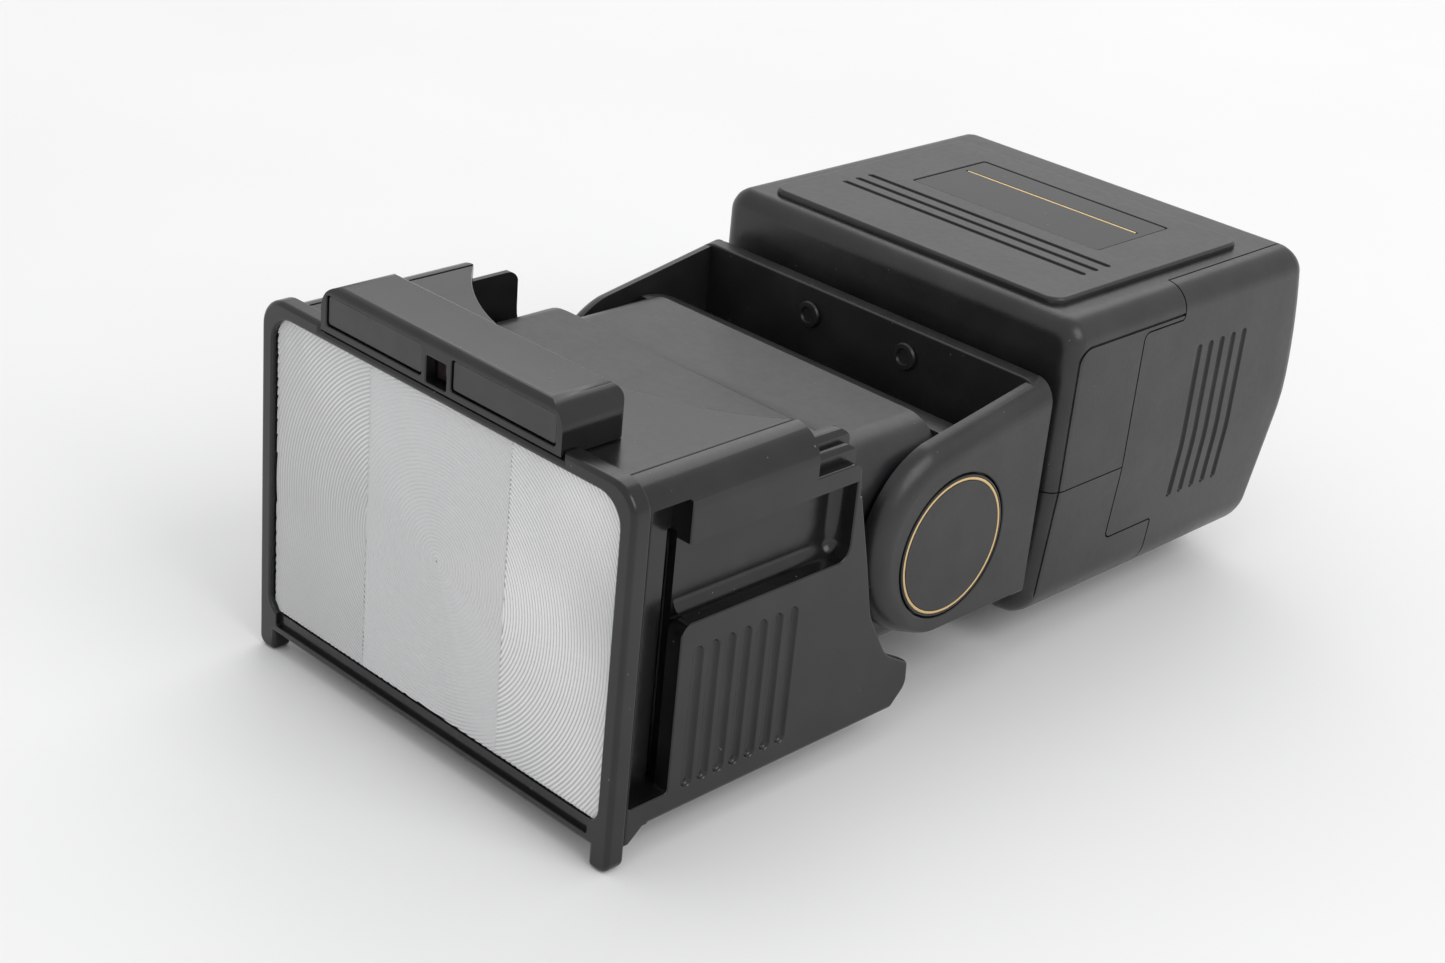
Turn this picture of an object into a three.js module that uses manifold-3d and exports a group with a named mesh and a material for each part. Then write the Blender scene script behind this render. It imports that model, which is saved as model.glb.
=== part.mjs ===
// Shoe-mount electronic flash with a tilting, swivelling head and a sliding zoom hood.
//
// Millimetres, +Z up. The flash lies on its back with the head tilted up in line with the body:
// the window faces -Y, the shoe foot points to +Y and the nameplate faces +Z.
// X = 0 is the plane of symmetry, Z = 0 is the surface the flash lies on.
// Shapes are drawn with Y = 0 at the face of the window frame; the outer group then moves the
// whole flash so that its origin lies under the middle of its box.
import * as THREE from "three";
import { mergeVertices } from "three/addons/utils/BufferGeometryUtils.js";
import Module from "manifold-3d";

const wasm = await Module();
wasm.setup();

// ---------------------------------------------------------------- driving dimensions
const GAP = 0.3; // clearance between neighbouring pieces
const WALL = 2; // usual moulded wall

const FRAME = { half: 42, depth: 3.4, bottom: 3.5, top: 61.5, corner: 5 };
const WINDOW = { half: 39.2, low: 7.1, high: 59 };
const LUG = { inner: 38, radius: 1.8 };
const HOUSING = { half: 27, depth: 12.1, low: 60.7, high: 68.4 };
const LABEL = { from: 3.3, to: 25.7, low: 61.7, high: 66.6, deep: 1 };
const INDICATOR = { half: 2.3, low: 61.2, high: 65.4, deep: 3 };
const SLEEVE = { half: 41.6, inner: 36.2, bottom: 5.5, top: 60.4, front: 3.7, tip: 37.3, scoop: 22 };
const SLOT = { front: 4, back: 11.7, low: 9.5, high: 57 }; // the hollow behind the frame
const SLIT = { front: 11, back: 13.1, top: 51, behind: 38.8 }; // the narrow way in for a plate
const RECESS = { back: 47.4, low: 37, high: 50, floor: 37.6 };
const SKIN = { inner: 40.1, start: 48.4 };
const FLUTE = { count: 7, first: 15.48, pitch: 3.285, low: 9.2, high: 32.5, width: 1.9, depth: 0.65 };

const PIVOT = { y: 74.2, z: 30.1 };
const HEAD = {
  half: 35, front: 14.5, back: 74, low: 7.4, high: 52.6, // the deep front box
  step: 50, chin: 45.5, neckStart: 57.5, neckLow: 13, neckHigh: 49.4, // the shallower neck
  split: 30.1, drum: 17.6, bearing: 5.4,
};
const YOKE = { half: 39.7, inner: 36, wallFront: 92.7, wallBack: 95.9, low: 15, high: 53.2 };
const DISC = { radius: 12.2, ringIn: 11.1, ringOut: 11.8 };
const SWIVEL = { z: 34.1, axle: 5, bore: 3.2, plate: 17, ring: 10 };

const BODY = { half: 39.8, front: 99.2, back: 171.6, bottom: 6.2, top: 62, split: 31.7, wall: 2.2 };
const PANEL = { half: 32.4, front: 103, back: 156.5, top: 63.2 };
const PANEL_GROOVE = { count: 3, first: 117, pitch: 3.46, half: 27.4, width: 1.1, depth: 0.6 };
const NAMEPLATE = { half: 21, front: 129, back: 149.6, rule: 142.6 };
const DOOR = { front: 119.3, high: 56.2, low: 17.7, upper: 130.6, lower: 132.8, edge: 35.4, skin: 2.4 };
const DOOR_GROOVE = { count: 5, first: 136.9, pitch: 3.42, low: 20.8, high: 50.2, width: 1.2, depth: 0.75 };
const MODULE = { half: 24.5, front: 137, back: 168, bed: 1 };
const CONTROLS = { front: 129, back: 164, low: 17, high: 53, thick: 2.4 };
const CELL = { radius: 7.1, length: 50 };
const FOOT = { half: 9.3, thick: 2, front: 178.2, stem: 3.1 };
const WHEEL = { front: 173, back: 177, tip: 12, root: 11, knurls: 24 };
const LEFT_FACE = -BODY.half;
const LENGTH = FOOT.front + FOOT.thick + 0.6;

// ---------------------------------------------------------------- materials
function finish(color, roughness, metalness = 0, opacity = 1) {
  return new THREE.MeshStandardMaterial({
    color,
    roughness,
    metalness,
    opacity,
    transparent: opacity < 1,
  });
}
const MATERIAL = {
  satin: finish(0x17181a, 0.5),
  matte: finish(0x131416, 0.65),
  gloss: finish(0x0c0c0e, 0.2),
  dark: finish(0x1c1c1e, 0.7),
  clear: finish(0xe8ecee, 0.1, 0, 0.35),
  smoke: finish(0x2a2024, 0.1, 0, 0.6),
  mirror: finish(0xd8dadc, 0.12, 1),
  gold: finish(0xd9a860, 0.3, 1),
  steel: finish(0xb4b6b8, 0.3, 1),
  copper: finish(0xb06a3a, 0.35, 1),
  board: finish(0x1f4a2c, 0.6),
  label: finish(0x18181b, 0.35),
  cell: finish(0x8a1f1f, 0.4, 0.2),
  foil: finish(0x20242c, 0.35, 0.1),
  lamp: finish(0xc8501c, 0.25),
};

// ---------------------------------------------------------------- shape helpers
// A closed outline from [a, b, radius] corners: each corner with a radius becomes an arc.
function outline(corners) {
  const shape = new THREE.Shape();
  const n = corners.length;
  corners.forEach(([a, b, radius = 0], i) => {
    const here = new THREE.Vector2(a, b);
    if (!radius) {
      if (i) shape.lineTo(a, b);
      else shape.moveTo(a, b);
      return;
    }
    const before = corners[(i + n - 1) % n];
    const after = corners[(i + 1) % n];
    const back = new THREE.Vector2(before[0], before[1]).sub(here).normalize();
    const ahead = new THREE.Vector2(after[0], after[1]).sub(here).normalize();
    const half = Math.acos(THREE.MathUtils.clamp(back.dot(ahead), -1, 1)) / 2;
    const start = here.clone().addScaledVector(back, radius / Math.tan(half));
    const end = here.clone().addScaledVector(ahead, radius / Math.tan(half));
    const middle = back.clone().add(ahead).normalize();
    const centre = here.clone().addScaledVector(middle, radius / Math.sin(half));
    const from = Math.atan2(start.y - centre.y, start.x - centre.x);
    const to = Math.atan2(end.y - centre.y, end.x - centre.x);
    const clockwise = back.cross(ahead) > 0;
    if (i) shape.lineTo(start.x, start.y);
    else shape.moveTo(start.x, start.y);
    shape.absarc(centre.x, centre.y, radius, from, to, clockwise);
  });
  shape.closePath();
  return shape;
}

// Turns a geometry drawn along local axes so that they lie on the three given axes.
function place(geometry, xAxis, yAxis, zAxis) {
  return geometry.applyMatrix4(new THREE.Matrix4().makeBasis(xAxis, yAxis, zAxis));
}
const X = new THREE.Vector3(1, 0, 0);
const Y = new THREE.Vector3(0, 1, 0);
const Z = new THREE.Vector3(0, 0, 1);

// Prisms: an outline of [y, z], [x, z] or [x, y] corners carried along the remaining axis.
function extrude(shape, low, high, segments) {
  const options = { depth: high - low, bevelEnabled: false, curveSegments: segments };
  return new THREE.ExtrudeGeometry(shape, options).translate(0, 0, low);
}
function prismX(corners, low, high, segments = 4) {
  return solid(place(extrude(outline(corners), low, high, segments), Y, Z, X));
}
function prismY(corners, low, high, segments = 4) {
  const turned = corners.map(([x, z, radius]) => [z, x, radius]);
  return solid(place(extrude(outline(turned), low, high, segments), Z, X, Y));
}
function prismZ(corners, low, high, segments = 4) {
  return solid(extrude(outline(corners), low, high, segments));
}
function block(x0, x1, y0, y1, z0, z1) {
  const geometry = new THREE.BoxGeometry(x1 - x0, y1 - y0, z1 - z0);
  return solid(geometry.translate((x0 + x1) / 2, (y0 + y1) / 2, (z0 + z1) / 2));
}
// A turned piece: [radius, height] profile round the axis named, through (a, b).
function turned(axis, profile, a, b, segments = 32) {
  const points = profile.map(([r, h]) => new THREE.Vector2(r, h));
  const geometry = new THREE.LatheGeometry(points, segments);
  if (axis === "x") return solid(place(geometry, Y, X.clone(), Z.clone().negate()).translate(0, a, b));
  if (axis === "y") return solid(geometry.translate(a, 0, b));
  return solid(place(geometry, X, Z, Y.clone().negate()).translate(a, b, 0));
}
function rod(axis, radius, low, high, a, b, segments = 32) {
  return turned(axis, [[0, low], [radius, low], [radius, high], [0, high]], a, b, segments);
}
function tube(axis, inner, outer, low, high, a, b, segments = 32) {
  const profile = [[inner, low], [outer, low], [outer, high], [inner, high], [inner, low]];
  return turned(axis, profile, a, b, segments);
}

// ---------------------------------------------------------------- solids
function solid(geometry) {
  const bare = geometry.clone();
  bare.deleteAttribute("normal");
  bare.deleteAttribute("uv");
  const merged = mergeVertices(bare, 1e-4);
  const count = merged.index.count;
  const position = merged.attributes.position;
  const triVerts = [];
  for (let i = 0; i < count; i += 3) {
    const [a, b, c] = [0, 1, 2].map((k) => merged.index.getX(i + k));
    if (a !== b && b !== c && c !== a) triVerts.push(a, b, c);
  }
  const vertProperties = new Float32Array(position.array);
  const mesh = new wasm.Mesh({ numProp: 3, vertProperties, triVerts: new Uint32Array(triVerts) });
  const made = new wasm.Manifold(mesh);
  if (made.volume() > 0) return made;
  for (let i = 0; i < triVerts.length; i += 3) {
    [triVerts[i + 1], triVerts[i + 2]] = [triVerts[i + 2], triVerts[i + 1]];
  }
  return new wasm.Manifold(
    new wasm.Mesh({ numProp: 3, vertProperties, triVerts: new Uint32Array(triVerts) }),
  );
}
function join(first, ...rest) {
  return rest.reduce((sum, next) => sum.add(next), first);
}
function cut(first, ...rest) {
  return rest.reduce((left, next) => left.subtract(next), first);
}
// The same solid on the other side of the plane of symmetry.
function mirrored(made) {
  const mesh = made.getMesh();
  const vertProperties = new Float32Array(mesh.vertProperties);
  for (let i = 0; i < vertProperties.length; i += mesh.numProp) vertProperties[i] *= -1;
  const triVerts = new Uint32Array(mesh.triVerts);
  for (let i = 0; i < triVerts.length; i += 3) {
    [triVerts[i + 1], triVerts[i + 2]] = [triVerts[i + 2], triVerts[i + 1]];
  }
  return new wasm.Manifold(new wasm.Mesh({ numProp: mesh.numProp, vertProperties, triVerts }));
}
function named(name, made, material) {
  const mesh = made.getMesh();
  const geometry = new THREE.BufferGeometry();
  geometry.setAttribute("position", new THREE.BufferAttribute(mesh.vertProperties, 3));
  geometry.setIndex(new THREE.BufferAttribute(mesh.triVerts, 1));
  geometry.computeVertexNormals();
  const node = new THREE.Mesh(geometry, material);
  node.name = name;
  return node;
}
function pair(name, made, material) {
  return [named(name + "_right", made, material), named(name + "_left", mirrored(made), material)];
}

// ---------------------------------------------------------------- zoom hood
function frontFrame() {
  const { half, depth, bottom, top, corner } = FRAME;
  const waist = HOUSING.half + GAP;
  const face = prismY(
    [
      [-half, 0, LUG.radius],
      [-LUG.inner, 0],
      [-LUG.inner, bottom],
      [LUG.inner, bottom],
      [LUG.inner, 0],
      [half, 0, LUG.radius],
      [half, top, corner],
      [waist, top],
      [waist, HOUSING.low - GAP],
      [-waist, HOUSING.low - GAP],
      [-waist, top],
      [-half, top, corner],
    ],
    0,
    depth,
  );
  const opening = (margin, from, to) =>
    prismY(
      [
        [-WINDOW.half + margin, WINDOW.low + margin, 3],
        [WINDOW.half - margin, WINDOW.low + margin, 3],
        [WINDOW.half - margin, WINDOW.high - margin, 4.5],
        [-WINDOW.half + margin, WINDOW.high - margin, 4.5],
      ],
      from,
      to,
    );
  const lowerStrip = block(-36.5, 36.5, -1, 0.9, 5, WINDOW.low + 1);
  return cut(face, opening(0, -1, 2.6), opening(1.6, 2, 5), lowerStrip);
}
function fresnelLens() {
  const half = WINDOW.half - GAP;
  return prismY(
    [
      [-half, WINDOW.low + GAP, 2.8],
      [half, WINDOW.low + GAP, 2.8],
      [half, WINDOW.high - GAP, 4.2],
      [-half, WINDOW.high - GAP, 4.2],
    ],
    0.4,
    2.3,
  );
}
function scaleHousing() {
  const { half, depth, low, high } = HOUSING;
  const front = prismY([[-half, low], [half, low], [half, high, 4.5], [-half, high, 4.5]], 0, depth);
  const side = prismX([[0, low], [depth, low], [depth, high, 1.2], [0, high, 2]], -half, half);
  const plan = prismZ([[-half, 0], [half, 0], [half, depth, 1.4], [-half, depth, 1.4]], low, high);
  const pocket = block(LABEL.from, LABEL.to, -1, LABEL.deep, LABEL.low, LABEL.high);
  const window = block(-INDICATOR.half, INDICATOR.half, -1, INDICATOR.deep, INDICATOR.low, INDICATOR.high);
  return cut(front.intersect(side).intersect(plan), pocket, mirrored(pocket), window);
}
function labelPanel() {
  const { from, to, low, high, deep } = LABEL;
  return block(from + GAP, to - GAP, 0.4, deep - GAP, low + GAP, high - GAP);
}
function indicatorWindow() {
  const half = INDICATOR.half - GAP;
  return block(-half, half, 2, INDICATOR.deep - GAP, INDICATOR.low + GAP, INDICATOR.high - GAP);
}
function sleeveTop() {
  const { inner, top, front, tip, scoop } = SLEEVE;
  const half = inner - GAP;
  const drop = tip - scoop;
  const radius = (half * half + drop * drop) / (2 * drop);
  const angle = Math.atan2(drop - radius, half);
  const shape = new THREE.Shape();
  shape.moveTo(-half, front);
  shape.lineTo(half, front);
  shape.lineTo(half, tip);
  shape.absarc(0, scoop + radius, radius, angle, -Math.PI - angle, true);
  shape.closePath();
  return solid(extrude(shape, top - WALL, top, 20));
}
function sleeveBottom() {
  const half = SLEEVE.inner - GAP;
  const { front, bottom } = SLEEVE;
  return block(-half, half, front, 40, bottom, bottom + 1.5);
}
function sleeveSide() {
  const { half, inner, bottom, top, front, tip } = SLEEVE;
  const thick = prismY(
    [[inner, bottom], [half, bottom, 1.2], [half, top, 5.3], [inner, top]],
    front,
    SKIN.start,
    5,
  );
  const skin = block(SKIN.inner, half, front, 66, 3, 57);
  const profile = prismX(
    [
      [front, 3.4],
      [4.6, 3.4],
      [7.2, bottom],
      [61.2, bottom, 1.5],
      [64.8, 9, 3],
      [64.4, 13.2, 1.2],
      [58.6, 16.4, 7],
      [53.6, 25, 9],
      [51.2, 35, 12],
      [47.3, 49.6, 10],
      [47.1, 61, 1],
      [front, 61],
    ],
    inner - 1,
    half + 1,
  );
  // Three steps behind the roof's tip, each lower and further out, with a rounded rear corner.
  const steps = [[inner - 1, 38.4, 57.4], [38.3, 40, 55.5], [39.9, half + 1, 53]].map(([from, to, z]) =>
    prismX([[tip, 63], [tip, z], [47.3, z, 2.4], [47.3, z - 6], [60, z - 6], [60, 63]], from, to),
  );
  const { floor } = RECESS;
  const hollow = block(floor, half + 1, SLOT.front, SLOT.back, SLOT.low, SLOT.high);
  const behind = block(floor, SLIT.behind, SLOT.front, SLIT.back + 0.4, SLOT.low, SLIT.top);
  const slit = block(inner - 1, floor + 0.4, SLIT.front, SLIT.back, SLOT.low, SLIT.top);
  const recess = prismX(
    [
      [SLOT.back - 1, RECESS.low],
      [RECESS.back, RECESS.low, 1.5],
      [RECESS.back, RECESS.high, 1],
      [SLOT.back - 1, RECESS.high],
    ],
    RECESS.floor,
    half + 1,
  );
  const flutes = [];
  for (let i = 0; i < FLUTE.count; i += 1) {
    const y = FLUTE.first + i * FLUTE.pitch;
    const r = FLUTE.width / 2;
    const corners = [[y - r, FLUTE.low, r * 0.98], [y + r, FLUTE.low, r * 0.98]];
    corners.push([y + r, FLUTE.high, r * 0.98], [y - r, FLUTE.high, r * 0.98]);
    flutes.push(prismX(corners, half - FLUTE.depth, half + 1, 3));
  }
  return cut(join(thick, skin).intersect(profile), ...steps, hollow, behind, slit, recess, ...flutes);
}

// ---------------------------------------------------------------- head
// The head's side profile: a deep front box, a bevelled step and a shallower neck.
function headProfile(inset, from, to) {
  const i = inset;
  return prismX(
    [
      [HEAD.front + i * 0.4, HEAD.low + i],
      [HEAD.chin - i * 0.3, HEAD.low + i],
      [HEAD.neckStart - i * 0.3, HEAD.neckLow + i],
      [HEAD.back, HEAD.neckLow + i],
      [HEAD.back, HEAD.neckHigh - i],
      [HEAD.step + 5 - i * 0.2, HEAD.neckHigh - i],
      [HEAD.step - i * 0.2, HEAD.high - i],
      [HEAD.front + i * 0.4, HEAD.high - i],
    ],
    from,
    to,
  );
}
function headRound(inset) {
  const half = HEAD.half - inset;
  const r = 7.5 - inset;
  const stretch = (bottom, top, from, to) => {
    const [low, high] = [bottom + inset, top - inset];
    return prismY([[-half, low, 3], [half, low, 3], [half, high, r], [-half, high, r]], from, to);
  };
  const neck = stretch(HEAD.neckLow, HEAD.neckHigh, HEAD.step + 2, HEAD.back + 1);
  const box = stretch(HEAD.low, HEAD.high, HEAD.front - 1, HEAD.step + 2);
  const blend = stretch(HEAD.low, HEAD.high - 2, HEAD.step + 1.9, HEAD.step + 8);
  return join(box, neck, blend);
}
function headShells() {
  const outer = headProfile(0, -HEAD.half, HEAD.half).intersect(headRound(0));
  const cavity = headProfile(WALL, -50, 50).intersect(headRound(WALL));
  const mouth = block(-32.5, 32.5, HEAD.front - 2, HEAD.front + 3, 10, 49.5);
  const bearing = rod("x", HEAD.bearing, -50, 50, PIVOT.y, PIVOT.z);
  const rear = block(-50, 50, HEAD.back - 3, HEAD.back + 3, HEAD.neckLow + WALL, HEAD.neckHigh - WALL);
  const shell = cut(outer, cavity, mouth, bearing, rear);
  const upper = shell.subtract(block(-60, 60, 0, 90, 0, HEAD.split + GAP / 2));
  const lower = shell.subtract(block(-60, 60, 0, 90, HEAD.split - GAP / 2, 70));
  return { upper, lower };
}
function headDrum() {
  const { y, z } = PIVOT;
  const full = rod("x", HEAD.drum, -34.8, 34.8, y, z, 56);
  const hollow = rod("x", HEAD.drum - WALL, -31, 31, y, z, 48);
  const bearing = rod("x", HEAD.bearing, -50, 50, y, z);
  const frontHalf = block(-50, 50, 40, HEAD.back + GAP, 0, 70);
  return cut(full, hollow, bearing, frontHalf);
}
function innerWindow() {
  return block(-32.1, 32.1, HEAD.front + 0.4, HEAD.front + 0.4 + WALL, 10.4, 49.1);
}
// The reflector: a trough of parabolic section, open to the front.
function reflectorTrough() {
  const [mouth, depth, rise] = [18, 19, 17];
  const section = (grow, opening) => {
    const corners = [];
    for (let i = -6; i <= 6; i += 1) {
      const y = mouth + (depth + grow) * (1 - (i / 6) ** 2);
      corners.push([y, HEAD.split + (i / 6) * (rise + grow)]);
    }
    if (opening) corners.push([mouth - 2, HEAD.split + rise], [mouth - 2, HEAD.split - rise]);
    return corners;
  };
  return cut(prismX(section(0.8, false), -31, 31), prismX(section(0, true), -30.2, 30.2));
}
function triggerCoil() {
  return tube("x", 2, 4.2, 6, 20, 46, 20, 24);
}
function headBoard() {
  return block(-28, 28, 56, 57.6, 17, 28.5);
}

// ---------------------------------------------------------------- yoke
function yokeBracket() {
  const { half, inner, wallFront, wallBack, low, high } = YOKE;
  const round = 17; // radius of the arms' front ends
  const edge = 4.2; // rounding of the arms' outer edges
  const side = new THREE.Shape();
  side.moveTo(wallBack, low + edge);
  side.lineTo(72.3, low + edge);
  side.absarc(72.3, 32, round - edge, -Math.PI / 2, 1.79, true);
  side.lineTo(wallBack, high - edge);
  side.closePath();
  const bevelled = new THREE.ExtrudeGeometry(side, {
    depth: 0.2,
    bevelEnabled: true,
    bevelThickness: 3.6,
    bevelSize: edge,
    bevelSegments: 4,
    curveSegments: 14,
  });
  const arm = solid(place(bevelled.translate(0, 0, half - 3.8), Y, Z, X));
  const keepArm = block(inner, half, 50, wallBack, low, high);
  const rightArm = arm.intersect(keepArm);
  const wall = prismY(
    [[-half, low, 1], [half, low, 1], [half, high, 4.7], [-half, high, 4.7]],
    wallFront,
    wallBack,
  );
  const axleHole = rod("y", SWIVEL.axle + GAP, 80, 100, 0, SWIVEL.z);
  const recess = rod("x", DISC.radius + GAP, half - 1.3, half + 2, PIVOT.y, PIVOT.z, 48);
  const pinHole = rod("x", 5.3, inner - 1, half + 1, PIVOT.y, PIVOT.z);
  const screwHole = rod("y", 1.9, 80, 100, 11, 48.2, 20);
  const whole = join(wall, rightArm, mirrored(rightArm));
  const holes = [recess, pinHole, screwHole];
  return cut(whole, axleHole, ...holes, ...holes.map(mirrored));
}
function coverDisc() {
  const face = YOKE.half + 0.05;
  const back = YOKE.half - 1;
  const step = face - 0.5;
  const profile = [[0, back], [DISC.radius, back], [DISC.radius, step], [DISC.ringIn - GAP, step]];
  profile.push([DISC.ringIn - GAP, face], [0, face]);
  return turned("x", profile, PIVOT.y, PIVOT.z, 48);
}
function ringInlay() {
  const face = YOKE.half + 0.1;
  return tube("x", DISC.ringIn, DISC.ringOut, face - 0.3, face, PIVOT.y, PIVOT.z, 48);
}
function tiltPin() {
  return rod("x", 5, 32, YOKE.half - 1.3 - GAP, PIVOT.y, PIVOT.z, 28);
}
function swivelPlate() {
  const back = BODY.front - GAP;
  return tube("y", SWIVEL.axle + GAP, SWIVEL.plate, YOKE.wallBack + GAP, back, 0, SWIVEL.z, 48);
}
function swivelAxle() {
  return tube("y", SWIVEL.bore, SWIVEL.axle, YOKE.wallFront + GAP, 103.4, 0, SWIVEL.z, 32);
}
function retainingRing() {
  const start = BODY.front + BODY.wall + GAP;
  return tube("y", SWIVEL.axle + GAP, SWIVEL.ring, start, start + 1.6, 0, SWIVEL.z, 32);
}
function yokeScrew() {
  const head = YOKE.wallFront - 0.9;
  const profile = [[0, head], [2.4, head], [2.4, YOKE.wallFront - GAP], [1.6, YOKE.wallFront - GAP]];
  profile.push([1.6, YOKE.wallBack], [0, YOKE.wallBack]);
  return turned("y", profile, 11, 48.2, 20);
}

// ---------------------------------------------------------------- body
// The body's outer form, or the same form drawn in by a wall.
function bodyForm(inset) {
  const { half, front, back, bottom, top } = BODY;
  const w = half - inset;
  const low = bottom + inset;
  const high = top - inset;
  const section = prismY(
    [[-w, low, 6.4], [w, low, 6.4], [w, high, 4.6], [-w, high, 4.6]],
    front - 5,
    back + 5,
  );
  const side = prismX(
    [
      [front + inset, low, 5],
      [back - 3.4 - inset, low, 4],
      [back - inset, 34, 24],
      [back - 4 - inset, high, 4.5],
      [front + inset, high, 4],
    ],
    -60,
    60,
  );
  const plan = prismZ(
    [[-w, front + inset, 3], [w, front + inset, 3], [w, back - inset, 4.5], [-w, back - inset, 4.5]],
    0,
    80,
  );
  return section.intersect(side).intersect(plan);
}
function raisedPanel() {
  const { half, front, back, top } = PANEL;
  return prismZ([[-half, front, 3], [half, front, 3], [half, back, 3], [-half, back, 3]], 58, top);
}
// The opening that the battery door fills, grown by a clearance.
function doorSpace(grow) {
  const d = DOOR;
  const side = prismX(
    [
      [d.front - grow, d.low - grow],
      [d.front - grow, d.high + grow],
      [d.upper - grow, d.high + grow],
      [d.upper - grow, 70],
      [190, 70],
      [190, 0],
      [d.lower - grow, 0],
      [d.lower - grow, d.low - grow],
    ],
    d.edge - grow,
    60,
  );
  return side;
}
function bodyShells() {
  const solidForm = join(bodyForm(0), raisedPanel());
  const hollow = bodyForm(BODY.wall);
  const { half, front, back } = NAMEPLATE;
  const plateBed = block(-half - GAP, half + GAP, front - GAP, back + GAP, PANEL.top - 0.9, 70);
  const grooves = Array.from({ length: PANEL_GROOVE.count }, (_, i) => {
    const { first, pitch, half: reach, width, depth } = PANEL_GROOVE;
    const y = first + i * pitch;
    return block(-reach, reach, y - width / 2, y + width / 2, PANEL.top - depth, 70);
  });
  const axleHole = rod("y", SWIVEL.axle + GAP, 90, 110, 0, SWIVEL.z);
  const footHole = rod("y", 3.4, 160, 190, 0, SWIVEL.z, 24);
  const control = block(
    -60,
    LEFT_FACE + CONTROLS.thick + 2 * GAP,
    CONTROLS.front - GAP,
    CONTROLS.back + GAP,
    CONTROLS.low - GAP,
    CONTROLS.high + GAP,
  );
  const door = doorSpace(GAP).subtract(block(0, BODY.half - DOOR.skin - GAP, 100, 190, 0, 58.9));
  const module = block(
    -MODULE.half - GAP,
    MODULE.half + GAP,
    MODULE.front - GAP,
    MODULE.back + GAP,
    -1,
    BODY.bottom + MODULE.bed,
  );
  const mouth = block(20, 60, 125.5, 164, 21, 53);
  const cuts = [hollow, plateBed, ...grooves, axleHole, footHole, control, door, module, mouth];
  const shell = cut(solidForm, ...cuts);
  const upper = shell.subtract(block(-60, 60, 80, 200, -5, BODY.split + GAP / 2));
  const lower = shell.subtract(block(-60, 60, 80, 200, BODY.split - GAP / 2, 80));
  return { upper, lower };
}
function batteryDoor() {
  const skin = bodyForm(0).intersect(doorSpace(0));
  const inside = block(0, BODY.half - DOOR.skin, 100, 190, 0, 59.2);
  const grooves = Array.from({ length: DOOR_GROOVE.count }, (_, i) => {
    const { first, pitch, low, high, width, depth } = DOOR_GROOVE;
    const y = first + i * pitch;
    return block(BODY.half - depth, BODY.half + 1, y - width / 2, y + width / 2, low, high);
  });
  return cut(skin, inside, ...grooves);
}
function nameplate() {
  const { half, front, back } = NAMEPLATE;
  const plate = block(-half, half, front, back, PANEL.top - 0.6, PANEL.top - 0.15);
  const { rule } = NAMEPLATE;
  const groove = block(-half + 1.4, half - 1.4, rule - 0.5, rule + 0.5, PANEL.top - 0.4, 70);
  return plate.subtract(groove);
}
function nameplateRule() {
  const half = NAMEPLATE.half - 1.7;
  const { rule } = NAMEPLATE;
  return block(-half, half, rule - 0.2, rule + 0.2, PANEL.top - 0.35, PANEL.top - 0.1);
}

// ---------------------------------------------------------------- inside the body
function cellAt(row, column) {
  const y = 133.5 + column * 15.2;
  const z = 29.5 + row * 15.2;
  const end = 34.6;
  const start = end - CELL.length;
  const profile = [[0, start], [CELL.radius, start], [CELL.radius, end - 1], [2.7, end - 1]];
  profile.push([2.7, end], [0, end]);
  return turned("x", profile, y, z, 24);
}
function contactPlate(x, thick) {
  return block(x, x + thick, 127, 155, 23, 51);
}
function mainCapacitor() {
  return rod("x", 11, -24, 24, 114.8, 20, 32);
}
function transformer() {
  return join(block(-34.5, -20.5, 104.5, 118.5, 40, 54), block(-33, -22, 102.9, 104.6, 42, 52));
}
function circuitBoard() {
  return block(-23, 23, 108, 124.6, 55.5, 57.1);
}

// ---------------------------------------------------------------- controls on the left side
function controlPanel() {
  const { front, back, low, high, thick } = CONTROLS;
  const plate = block(LEFT_FACE - 0.1, LEFT_FACE + thick, front, back, low, high);
  const switchSlot = block(LEFT_FACE - 1, LEFT_FACE + 1.4, 133, 147, 45, 49);
  const selectorSlot = block(LEFT_FACE - 1, LEFT_FACE + 1.4, 133, 157, 36, 40);
  const buttonHole = rod("x", 3.5, LEFT_FACE - 1, LEFT_FACE + 1.4, 139, 27, 24);
  const lampHole = rod("x", 2, LEFT_FACE - 1, LEFT_FACE + 1.4, 150, 27, 20);
  const socketHole = rod("x", 2.7, LEFT_FACE - 1, LEFT_FACE + 3, 158.5, 23, 24);
  return cut(plate, switchSlot, selectorSlot, buttonHole, lampHole, socketHole);
}
function slider(y, z) {
  const base = block(LEFT_FACE - 0.6, LEFT_FACE + 1.1, y, y + 8, z - 1.7, z + 1.7);
  const grips = [1, 3, 5].map((k) =>
    block(LEFT_FACE - 1.4, LEFT_FACE - 0.5, y + k, y + k + 1, z - 1.5, z + 1.5),
  );
  return join(base, ...grips);
}
function testButton() {
  return rod("x", 3.2, LEFT_FACE - 1.5, LEFT_FACE + 0.2, 139, 27, 24);
}
function readyLamp() {
  return rod("x", 1.7, LEFT_FACE - 0.5, LEFT_FACE + 1.1, 150, 27, 20);
}
function syncSocket() {
  const outer = tube("x", 1.3, 2.4, LEFT_FACE - 0.6, LEFT_FACE + 2.3, 158.5, 23, 24);
  return join(outer, rod("x", 1.4, LEFT_FACE + 1.6, LEFT_FACE + 2.3, 158.5, 23, 24));
}

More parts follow.
